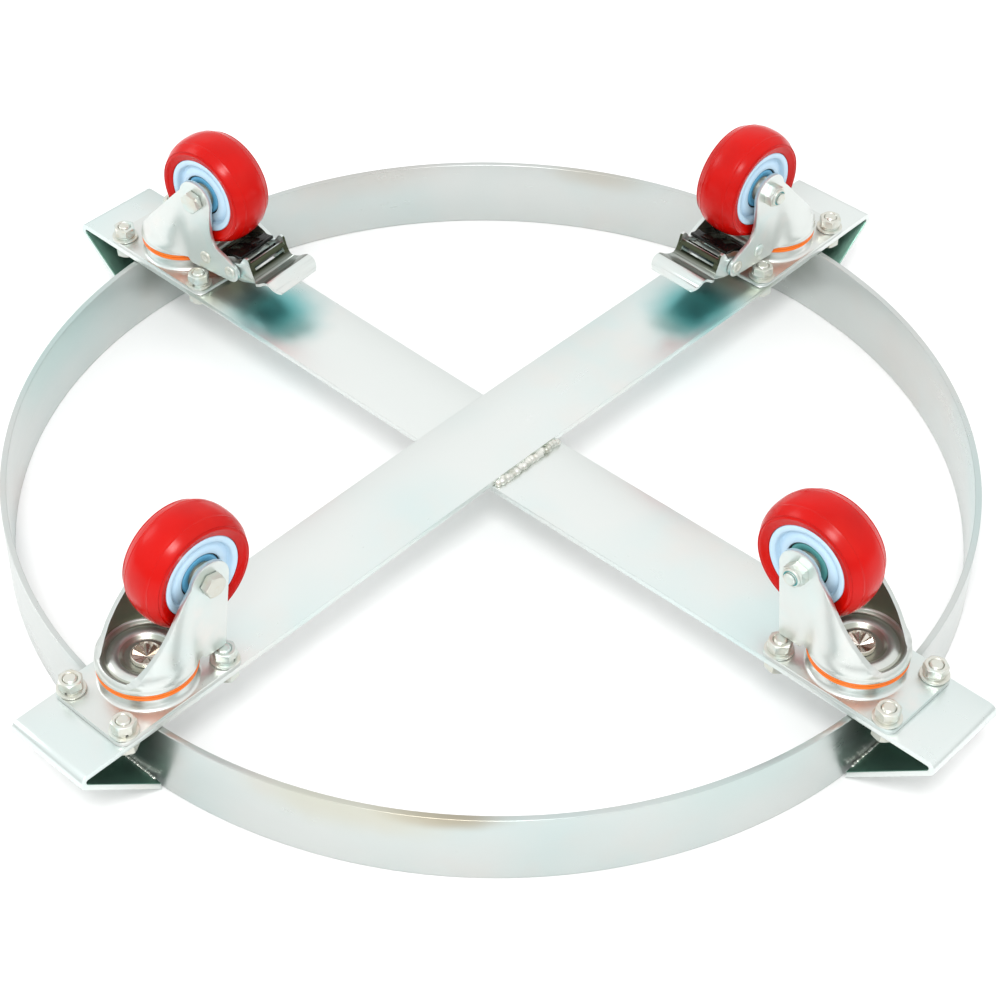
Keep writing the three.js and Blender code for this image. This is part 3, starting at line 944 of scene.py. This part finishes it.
class BuildSwivelRaces(bpy.types.Operator):
    """Balls and cages of the swivels."""

    bl_idname = "dolly.build_swivel_races"
    bl_label = "Swivel races"

    def execute(self, context):
        radius, middle, ball, count = 18.5, 14.3, 2.9, 16
        balls = []
        for i in range(count):
            turn = math.tau * i / count
            balls.append(add_ball(ball, (radius * math.cos(turn), radius * math.sin(turn), middle)))
        cage = band("cage", 16.4, 20.6, middle - 0.4, middle + 0.4, 48)
        race = combined(joined("race", balls), cage)
        smoothed(race, 30)
        steel = finish(
            "ball steel", (0.72, 0.74, 0.76), (0.6, 0.64, 0.68), (0.76, 0.72, 0.66), metallic=1.0, smooth=0.08,
            dull=0.2, cloud_scale=80.0, grain_scale=600.0,
        )
        settle_on_castors(race, "ball_race", "swivel", steel, node="swivel_balls")
        return {"FINISHED"}


class BuildDustSeals(bpy.types.Operator):
    """Orange dust seals with a groove round the middle."""

    bl_idname = "dolly.build_dust_seals"
    bl_label = "Dust seals"

    def execute(self, context):
        bottom, top = 11.85, 16.25
        outer = 29.2
        profile = [
            (25.3, bottom), (outer - 1.2, bottom), (outer - 0.4, bottom + 0.3), (outer, bottom + 0.9),
            (outer, bottom + 1.7), (outer - 0.3, bottom + 2.0), (outer - 0.9, bottom + 2.2),
            (outer - 0.9, bottom + 2.6), (outer - 0.3, bottom + 2.8), (outer, bottom + 3.1), (outer, top - 0.5),
            (outer - 0.3, top - 0.1), (outer - 0.8, top), (25.3, top),
        ]
        seal = smoothed(turned("seal", profile), 50)
        settle_on_castors(seal, "swivel_seal", "swivel", orange_plastic(), node="dust_seal")
        return {"FINISHED"}


FORK_BASE = [
    (6.3, 15.3), (13.0, 15.3), (15.2, 17.6), (22.0, 17.6), (24.0, 16.7), (29.2, 16.65), (29.5, 16.9), (29.5, 17.6),
    (29.2, 18.7), (28.4, 20.1), (27.6, 21.1), (26.8, 21.6), (26.0, 21.5), (25.3, 20.8), (24.7, 19.8), (24.0, 19.2),
    (23.2, 19.1), (22.3, 19.6), (21.2, 20.4), (19.8, 20.9), (18.2, 21.0), (16.6, 20.6), (15.3, 19.8), (14.3, 18.8),
    (13.4, 18.0), (12.6, 17.7), (6.3, 17.7),
]
FRONT_EDGE = (
    (-24.2, 16.2, 16.6), (-22.0, 18.6, 23.0), (-18.8, 19.2, 26.0), (-15.3, 20.4, 30.0), (-8.5, 22.2, 38.0),
    (-1.3, 22.7, 46.0), (6.6, 22.0, 55.0), (13.4, 20.9, 63.0), (18.0, 20.6, 68.0),
)
CREASE = 21.2
WRAP = 29.5


def between(table, height):
    """The point at a height on a listed edge of (x, y, z) points."""
    if height <= table[0][2]:
        return Vector(table[0][:2])
    for (x0, y0, z0), (x1, y1, z1) in zip(table, table[1:]):
        if height <= z1:
            share = (height - z0) / (z1 - z0)
            return Vector((x0 + (x1 - x0) * share, y0 + (y1 - y0) * share))
    return Vector(table[-1][:2])


def arm_section(height, reach):
    """A point on the outer face of the arm at a height. `reach` runs along the sheet from the crease: behind it
    the sheet is flat, and in front of it an arc of the wrap radius leads to the front edge."""
    crease = Vector((CREASE, ARM_HALF))
    if reach < 0:
        return crease - Vector((reach, 0))
    front = between(FRONT_EDGE, height)
    chord = front - crease
    half = min(chord.length / 2, WRAP * 0.99)
    outward = Vector((chord.y, -chord.x)).normalized()
    centre = crease + chord / 2 - outward * math.sqrt(WRAP ** 2 - half ** 2)
    start = math.atan2(crease.y - centre.y, crease.x - centre.x)
    turn = start + reach / WRAP
    return centre + WRAP * Vector((math.cos(turn), math.sin(turn)))


def arm_point(height, reach, rounding=4.0):
    """The same, with the crease rounded by averaging along the sheet."""
    steps = (-1, -0.5, 0, 0.5, 1)
    return sum((arm_section(height, reach + step * rounding) for step in steps), Vector((0, 0))) / len(steps)


def arm_sheet(name):
    """The sheet of one arm before its outline is cut, as a thick curved grid."""
    columns, rows = 56, 26
    low, high = 12.0, 84.0
    behind, ahead = -52.0, 66.0
    deselect_all()
    bpy.ops.mesh.primitive_grid_add(x_subdivisions=columns, y_subdivisions=rows, size=2)
    sheet = bpy.context.object
    sheet.name = name
    for corner in sheet.data.vertices:
        height = low + (high - low) * (corner.co.y + 1) / 2
        place = arm_point(height, behind + (ahead - behind) * (corner.co.x + 1) / 2)
        corner.co = (place.x, place.y, height)
    tidy_shell(sheet)
    if sum((face.normal.y for face in sheet.data.polygons)) < 0:
        sheet.data.flip_normals()
    return apply_modifier(sheet, "SOLIDIFY", thickness=SHEET, offset=-1, use_even_offset=True)


def arm_outline(braked):
    """The side view of the arm in x and z."""
    eye = 13.5
    bottom = 16.9
    outline = [(-27.5, bottom), (CREASE + 2.0, bottom), (CREASE + 4.4, 13.6)]
    if braked:
        outline += [(PEDAL_RIVET[0] + 0.6, 15.2), *arc(*PEDAL_RIVET, 7.0, -80, 48, 10)]
        outline += [
            (60.5, 30.6), (56.5, 32.8), (52.5, 34.3), (49.5, 35.8), (47.4, 38.2), (46.0, 41.5), (45.2, 46.0),
            (45.3, 52.0),
        ]
    else:
        outline += [(39.0, 13.6), *arc(39.2, 15.1, 1.5, -90, 0, 4), (42.3, 31), (43.6, 42), (45.3, 56)]
    outline += arc(AXLE_TRAIL, AXLE_HEIGHT, eye, -14, 168, 26)
    front = [(x, z) for x, _, z in reversed(FRONT_EDGE) if 22 < z < 66]
    return outline + [*front, (-23.5, 21.5), (-26.0, 19.5)]


class BuildForks(bpy.types.Operator):
    """Pressed forks: a round base, two arms wrapped round it and, on braked castors, tails for the brake."""

    bl_idname = "dolly.build_forks"
    bl_label = "Forks"

    def execute(self, context):
        for braked in (False, True):
            fork = turned("fork", FORK_BASE)
            hole = moved(rod("axle hole", 4.3, -40, 40), AXLE_TURN)
            for side in (1, -1):
                arm = arm_sheet("arm")
                combined(arm, slab("outline", arm_outline(braked), 0, 40), "INTERSECT")
                if side < 0:
                    moved(arm, Matrix.Scale(-1, 4, (0, 1, 0)))
                    tidy_shell(arm)
                softened(arm, 0.45)
                combined(fork, arm)
            combined(fork, hole, "DIFFERENCE")
            smoothed(fork, 38)
            shade_faces(fork, self.painted_shade)
            castors = [castor for castor in CASTORS if (castor in BRAKED) == braked]
            settle_on_castors(fork, "fork_pressing", "swivel", zinc_pressing(), castors, "fork")
        return {"FINISHED"}

    def painted_shade(self, place, facing):
        """Painted shade: full on the faces that look at the wheel, half in the groove of the base, faint on its
        other upward faces.
        """
        if place.z > 21.5:
            inward = -facing.y if place.y > 0 else facing.y
            return 0.85 * max(0.0, min(1.0, inward * 2))
        reach = place.to_2d().length
        if facing.z > 0.1 and (22.6 < reach < 25.5 or reach < 15.5):
            return 0.55
        return 0.12 if facing.z > 0.1 else 0.0


class BuildRivets(bpy.types.Operator):
    """Brake rivets through the tails of the forks."""

    bl_idname = "dolly.build_rivets"
    bl_label = "Brake rivets"

    def execute(self, context):
        reach = ARM_HALF
        head = [
            (4.5, reach + 0.05), (4.5, reach + 0.5), (4.1, reach + 0.95), (3.4, reach + 1.15), (2.3, reach + 1.15),
            (1.9, reach + 0.75), (0.9, reach + 0.6), (0, reach + 0.6),
        ]
        far_head = [(radius, -z) for radius, z in reversed(head[:-1])]
        profile = [(0, -reach - 1.6), *far_head, (2.8, -reach - 0.05), (2.8, reach + 0.05), *head]
        metal = bright_fastener()
        for number, (x, z) in enumerate((SHOE_RIVET, PEDAL_RIVET), start=1):
            rivet = smoothed(turned("rivet", profile, 40, closed=False), 50)
            moved(rivet, Matrix.Translation((x, 0, z)) @ Matrix.Rotation(math.radians(-90), 4, "X"))
            settle_on_castors(rivet, f"brake_rivet_{number}", "swivel", metal, BRAKED)
        return {"FINISHED"}


class BuildAxles(bpy.types.Operator):
    """Axle bolts and their lock nuts."""

    bl_idname = "dolly.build_axles"
    bl_label = "Axles"

    def execute(self, context):
        metal = bright_fastener()
        seat = ARM_HALF + 0.1
        # The bolt's head is on the -y side and the nut on the +y side.
        bolt = hexagon_piece("axle bolt", seat + 0.5, seat + 5.6, chamfer_bottom=False)
        combined(bolt, rod("collar", 6.0, seat, seat + 0.6, 48))
        thread = [(radius, -z) for radius, z in thread_profile(seat, seat + 9.4)]
        shank = [(0, seat + 1), (M8_RADIUS, seat + 1), (M8_RADIUS, -seat), *thread]
        crisp(combined(bolt, turned("shank", shank, 32, closed=False)))
        flip = Matrix.Rotation(math.pi, 4, "X")
        moved(bolt, AXLE_TURN @ flip @ Matrix.Rotation(0.35, 4, "Z"))
        settle_on_castors(bolt, "axle_bolt", "swivel", metal, node="axle")

        nut = hexagon_piece("lock nut", seat, seat + 6.0, chamfer_bottom=False)
        dome = [(0, seat + 5), (5.9, seat + 5), *arc(5.0, seat + 6.6, 0.9, 0, 90, 8), (0, seat + 7.5)]
        combined(nut, turned("dome", dome, 64, closed=False))
        bore = [
            (0, -1), (M8_BORE, -1), (M8_BORE, seat + 6.2), (M8_BORE + 0.75, seat + 6.2), (M8_BORE + 0.75, seat + 9),
            (0, seat + 9),
        ]
        crisp(combined(nut, turned("bore", bore, 32, closed=False), "DIFFERENCE"))
        moved(nut, AXLE_TURN @ Matrix.Rotation(0.2, 4, "Z"))
        settle_on_castors(nut, "axle_nut", "swivel", metal)

        ring = smoothed(moved(band("nylon ring", 4.1, 4.85, seat + 6.3, seat + 7.3, 32), AXLE_TURN))
        nylon = finish("teal nylon", (0.05, 0.33, 0.34), (0.04, 0.25, 0.27), (0.1, 0.4, 0.4), smooth=0.35, dull=0.5)
        settle_on_castors(ring, "nylon_ring", "swivel", nylon)
        return {"FINISHED"}


# Castor: wheel


class BuildTreads(bpy.types.Operator):
    """Red crowned treads with a soft shoulder, a concave side and two faint parting lines."""

    bl_idname = "dolly.build_treads"
    bl_label = "Treads"

    def execute(self, context):
        half = sizes().tread_half
        crown_steps = 16
        line_at, line_height = 9.6, 0.12
        crown = []
        for i in range(crown_steps + 1):
            across = math.sin(i / crown_steps * math.pi / 2)
            radius = WHEEL_RADIUS - 0.3 - sizes().crown * across ** 2.5
            crown.append((radius, across * (half - 0.6)))
        height = WHEEL_RADIUS - 0.3 - sizes().crown * (line_at / (half - 0.6)) ** 2.5
        line = [(height, line_at - 0.2), (height + line_height, line_at), (height, line_at + 0.2)]
        crown = [point for point in crown if abs(point[1] - line_at) > 0.4] + line
        crown.sort(key=lambda point: point[1])
        shoulder = [
            (32.5, half - 0.42), (32.1, half - 0.75), (31.7, half - 0.72), (31.3, half - 0.25), (30.8, half),
            (30.1, half - 0.15), (29.2, half - 0.6), (28.0, half - 1.05), (26.6, half - 1.4), (25.9, half - 1.75),
        ]
        side = crown + shoulder
        profile = [(radius, -across) for radius, across in reversed(side)] + side[1:]
        tread = smoothed(moved(turned("tread", profile, 128), AXLE_TURN), 60)
        settle_on_castors(tread, "wheel_tread", "wheel", red_polyurethane(), node="tread")
        return {"FINISHED"}


class BuildCores(bpy.types.Operator):
    """Pale blue wheel cores with a flange, a moulded step and a hub."""

    bl_idname = "dolly.build_cores"
    bl_label = "Wheel cores"

    def execute(self, context):
        side = [
            (13.95, 12.4), (14.2, 12.9), (14.8, 13.0), (17.6, 12.3), (18.9, 11.7), (19.8, 11.0), (20.6, 10.9),
            (21.1, 11.4), (21.4, 12.6), (21.8, 13.5), (22.4, 13.9), (24.8, 14.15), (25.4, 14.0), (25.6, 13.6),
        ]
        profile = [(radius, -across) for radius, across in reversed(side)] + side
        core = smoothed(moved(turned("core", profile, 112), AXLE_TURN), 50)
        settle_on_castors(core, "wheel_core", "wheel", pale_plastic(), node="core")
        return {"FINISHED"}


class BuildBearings(bpy.types.Operator):
    """Sealed bearings: steel races, blue shields and the sleeve between the fork's arms."""

    bl_idname = "dolly.build_bearings"
    bl_label = "Bearings"

    def execute(self, context):
        metal = bright_fastener()
        sleeve = [
            (4.4, -17.6), (6.4, -17.6), (6.4, -12.2), (8.3, -12.0), (8.3, 12.0), (6.4, 12.2), (6.4, 17.6),
            (4.4, 17.6),
        ]
        races = moved(softened(turned("sleeve", sleeve, 64), 0.25), AXLE_TURN)
        settle_on_castors(races, "bearing_sleeve", "wheel", metal, node="bearing")
        shield_side = [
            (8.6, 12.0), (9.2, 12.5), (10.0, 12.7), (11.2, 12.75), (12.2, 12.6), (12.9, 12.1), (13.1, 11.6),
            (12.6, 10.4), (8.6, 10.4),
        ]
        # A near-black ring stands in for the shaded gap between shield and core: painted shade.
        dark = finish(
            "painted shade bearing gap", (0.02, 0.025, 0.03), (0.03, 0.05, 0.06), (0.03, 0.03, 0.03), smooth=0.4, dull=0.6,
            cloud_scale=60.0, grain_scale=600.0,
        )
        for label, sign in (("near", 1), ("far", -1)):
            side = [(radius, sign * across) for radius, across in shield_side]
            shield = smoothed(moved(turned("shield", side, 96), AXLE_TURN), 50)
            teal_twin = copied(shield, "teal shield")
            others = [castor for castor in CASTORS if castor != "right"]
            settle_on_castors(shield, f"bearing_shield_{label}", "wheel", blue_shield(), others)
            settle_on_castors(teal_twin, f"bearing_shield_{label}", "wheel", teal_shield(), ["right"])
            gap = [(13.15, 9.5), (13.85, 9.5), (13.85, 12.3), (13.55, 12.35), (13.2, 11.9)]
            gap = [(radius, sign * across) for radius, across in gap]
            ring = smoothed(moved(turned("gap ring", gap, 96), AXLE_TURN), 50)
            settle_on_castors(ring, f"bearing_ring_{label}", "wheel", dark)
        return {"FINISHED"}


# Brake


def smooth_line(points, steps=4):
    """A Catmull-Rom curve through given points."""
    path = []
    for i in range(len(points) - 1):
        p0, p1 = Vector(points[max(i - 1, 0)]), Vector(points[i])
        p2, p3 = Vector(points[i + 1]), Vector(points[min(i + 2, len(points) - 1)])
        for k in range(steps):
            t = k / steps
            square = (2 * p0 - 5 * p1 + 4 * p2 - p3) * t ** 2
            place = 0.5 * (2 * p1 + (p2 - p0) * t + square + (3 * p1 - p0 - 3 * p2 + p3) * t ** 3)
            path.append((place.x, place.y))
    return path + [tuple(points[-1])]


def drilled(piece, rivet):
    """Drills the hole for a brake rivet across a piece."""
    place = Matrix.Translation((rivet[0], 0, rivet[1])) @ Matrix.Rotation(math.radians(90), 4, "X")
    return combined(piece, moved(rod("hole", 3.1, -30, 30), place), "DIFFERENCE")


class BuildPedals(bpy.types.Operator):
    """Foot pedals: two ears on the rear rivet, a rolled and slotted crossbar, a trough and a sloping lip."""

    bl_idname = "dolly.build_pedals"
    bl_label = "Brake pedals"

    def execute(self, context):
        sheet, ear, tab, corner = 1.8, 17.6, 20.5, 7.4
        line = smooth_line([
            (73.6, 28.4), (73.9, 31.0), (75.0, 32.4), (76.5, 31.9), (77.6, 29.6), (78.9, 26.8),
            (81.0, 24.1), (84.0, 23.0), (87.0, 24.0), (90.4, 26.4), (93.2, 28.1), (95.6, 28.5), (98.0, 27.8),
            (101.4, 25.8), (104.8, 23.6),
        ])
        pedal = slab("pedal", strip_outline(line, sheet), -tab, 2 * tab)
        side = smooth_line([
            (68, 14.4), (71.6, 14.8), (73.4, 16.4), (75.0, ear), (78.8, ear), (81.6, 18.2), (84.4, 20.1),
            (87.0, tab),
        ])
        side += arc(98.0, tab - corner, corner, 90, 0, 10)
        plan = side + [(x, -y) for x, y in reversed(side)]
        combined(pedal, plan_slab("trim", plan, 0, 50), "INTERSECT")
        slot = [(76.2, 27.2), (80, 27.2), (80, 31.0), (76.2, 31.0)]
        combined(pedal, slab("slot", slot, -SLOT_HALF, 2 * SLOT_HALF), "DIFFERENCE")
        outline = [
            *arc(*PEDAL_RIVET, 6, 110, 280, 14), (70, 17.2), (79.8, 20.6), (82.4, 22.2), (80.4, 24.9), (78.6, 28.4),
            (77.4, 32.6), *arc(74.0, 34.9, 2.7, 0, 150, 8), (68.4, 31.0),
        ]
        for start in (ear - sheet, -ear):
            combined(pedal, slab("ear", outline, start, sheet))
        softened(drilled(pedal, PEDAL_RIVET), 0.3)
        shade_faces(pedal, self.painted_shade)
        # The shade colour is the near-black olive of the painted shade in the trough.
        metal = zinc_pressing("bright zinc pedal", (0.05, 0.06, 0.03))
        settle_on_castors(pedal, "foot_pedal", "pedal", metal, BRAKED, "brake_pedal")
        leaf_line = [(68.5, 29.0), (72.0, 27.8), (74.9, 26.6), (75.5, 28.2), (75.6, 30.2)]
        leaf = slab("leaf", strip_outline(leaf_line, 0.8), sheet - ear + 0.1, 2 * (ear - sheet) - 0.2)
        softened(leaf, 0.2, angle=35)
        settle_on_castors(leaf, "spring_leaf", "pedal", black_plate(), BRAKED)
        return {"FINISHED"}

    def painted_shade(self, place, facing):
        """Painted shade in the trough: deepest on the slope below the slot, lighter towards the foot of the trough.
        """
        if facing.z < 0.1 or not 75.5 < place.x < 94.5:
            return 0.0
        return 0.65 if place.x > 90 else 0.98 - 0.48 * min(max((place.x - 79.5) / 4, 0), 1)


class BuildShoes(bpy.types.Operator):
    """Black brake shoes: a stepped plate under the tread with pressed ribs and slots."""

    bl_idname = "dolly.build_shoes"
    bl_label = "Brake shoes"

    def execute(self, context):
        half, sheet = 15.3, 1.8
        line = smooth_line([
            (44.5, 26.4), (48.5, 28.2), (53.0, 29.8), (57.0, 31.4), (60.0, 32.6), (64.0, 33.2), (68.0, 34.2),
        ])
        shoe = slab("shoe", strip_outline(line, sheet), -half, 2 * half)
        outline = [*arc(*SHOE_RIVET, 5, 80, 270, 12), (50, 22.5), (54, 30.2), (48.5, 28.2), (44.5, 26.4)]
        for start in (half - sheet, -half):
            combined(shoe, slab("ear", outline, start, sheet))
        rib = [(50, 29.4), (51, 30.4), (62, 34.4), (64, 33.9), (62, 32.4), (52, 28.8)]
        for y in (-8.5, 0, 8.5):
            combined(shoe, slab("rib", rib, y - 1.1, 2.2))
        for y in (-5.5, 3.5):
            combined(shoe, slab("slot", [(64.6, 28), (66.6, 28), (66.6, 38), (64.6, 38)], y, 3.5), "DIFFERENCE")
        softened(drilled(shoe, SHOE_RIVET), 0.3)
        settle_on_castors(shoe, "shoe_pressing", "shoe", black_plate(), BRAKED, "brake_shoe")
        return {"FINISHED"}


# Stage


CAMERA_PLACE = Vector((0.75757, -0.84036, 1.05225))
CAMERA_AIM = Vector((-0.01719, -0.03075, 0.0))
CAMERA_LENS = 86.97
CAMERA_SHIFT = (0.0642, 0.0114)


class BuildCamera(bpy.types.Operator):
    """Camera above the front right of the dolly."""

    bl_idname = "dolly.build_camera"
    bl_label = "Camera"

    def execute(self, context):
        data = bpy.data.cameras.new("Camera")
        data.lens = CAMERA_LENS
        data.sensor_width = 36
        data.shift_x, data.shift_y = CAMERA_SHIFT
        camera = bpy.data.objects.new("Camera", data)
        context.scene.collection.objects.link(camera)
        camera.location = CAMERA_PLACE
        camera.rotation_euler = (CAMERA_AIM - CAMERA_PLACE).to_track_quat("-Z", "Y").to_euler()
        context.scene.camera = camera
        return {"FINISHED"}


class BuildStage(bpy.types.Operator):
    """Pale floor, soft studio lights and a white surround."""

    bl_idname = "dolly.build_stage"
    bl_label = "Floor and lights"

    def execute(self, context):
        deselect_all()
        size = sizes().floor_size
        bpy.ops.mesh.primitive_plane_add(size=size, location=(0, 0, -0.0003))
        floor = context.object
        floor.name = "floor"
        floor.data.materials.append(self.floor_finish())
        self.soft_light("key light", (1.0, -1.3, 2.5), 0.85, 36)
        self.soft_light("left light", (-2.4, -1.0, 1.6), 1.2, 9)
        self.surround(context)
        context.scene.view_settings.view_transform = "Standard"
        return {"FINISHED"}

    def floor_finish(self):
        material = bpy.data.materials.new("pale floor")
        material.use_nodes = True
        shader = material.node_tree.nodes["Principled BSDF"]
        shader.inputs["Base Color"].default_value = (0.95, 0.95, 0.95, 1)
        shader.inputs["Roughness"].default_value = 0.9
        return material

    def soft_light(self, name, place, size, power):
        data = bpy.data.lights.new(name, "AREA")
        data.shape = "DISK"
        data.size = size
        data.energy = power
        light = bpy.data.objects.new(name, data)
        bpy.context.scene.collection.objects.link(light)
        light.location = place
        light.rotation_euler = (-Vector(place)).to_track_quat("-Z", "Y").to_euler()

    def surround(self, context):
        world = bpy.data.worlds.new("white surround")
        context.scene.world = world
        world.use_nodes = True
        tree = world.node_tree
        background = tree.nodes["Background"]
        place = tree.nodes.new("ShaderNodeTexCoord").outputs["Generated"]
        split = new_node(tree, "ShaderNodeSeparateXYZ", {0: place})
        height = remap(tree, split.outputs["Z"], 0.0, 0.5)
        shade = blend(tree, height, (0.50, 0.52, 0.51), (1.0, 1.0, 1.0))
        # The wall behind the floor looks plain white, while the metal still mirrors a darker skyline.
        seen = tree.nodes.new("ShaderNodeLightPath").outputs["Is Camera Ray"]
        tree.links.new(blend(tree, seen, shade, (1.0, 1.0, 1.0)), background.inputs["Color"])
        background.inputs["Strength"].default_value = 1.08


# Panel and registration


BUILDERS = (
    BuildCamera, BuildRing, BuildCrossbars, BuildWelds, BuildPlates, BuildPlateFasteners, BuildKingpins,
    BuildSwivelRaces, BuildDustSeals, BuildForks, BuildRivets, BuildAxles, BuildTreads, BuildCores, BuildBearings,
    BuildPedals, BuildShoes, BuildStage,
)


class DollyPanel(bpy.types.Panel):
    """Lists the sizes, the colours and the builders."""

    bl_idname = "DOLLY_PT_panel"
    bl_label = "Drum dolly"
    bl_space_type = "VIEW_3D"
    bl_region_type = "UI"
    bl_category = "Dolly"

    def draw(self, context):
        layout = self.layout
        for settings in (context.scene.dolly_sizes, context.scene.dolly_colours):
            for name in settings.__annotations__:
                layout.prop(settings, name)
        for builder in BUILDERS:
            layout.operator(builder.bl_idname)


CLASSES = (DollySizes, DollyColours, *BUILDERS, DollyPanel)


def register():
    for item in CLASSES:
        bpy.utils.register_class(item)
    bpy.types.Scene.dolly_sizes = PointerProperty(type=DollySizes)
    bpy.types.Scene.dolly_colours = PointerProperty(type=DollyColours)


def unregister():
    del bpy.types.Scene.dolly_colours
    del bpy.types.Scene.dolly_sizes
    for item in reversed(CLASSES):
        bpy.utils.unregister_class(item)


def main():
    register()
    for builder in BUILDERS:
        category, name = builder.bl_idname.split(".")
        getattr(getattr(bpy.ops, category), name)()
    deselect_all()


if __name__ == "__main__":
    main()
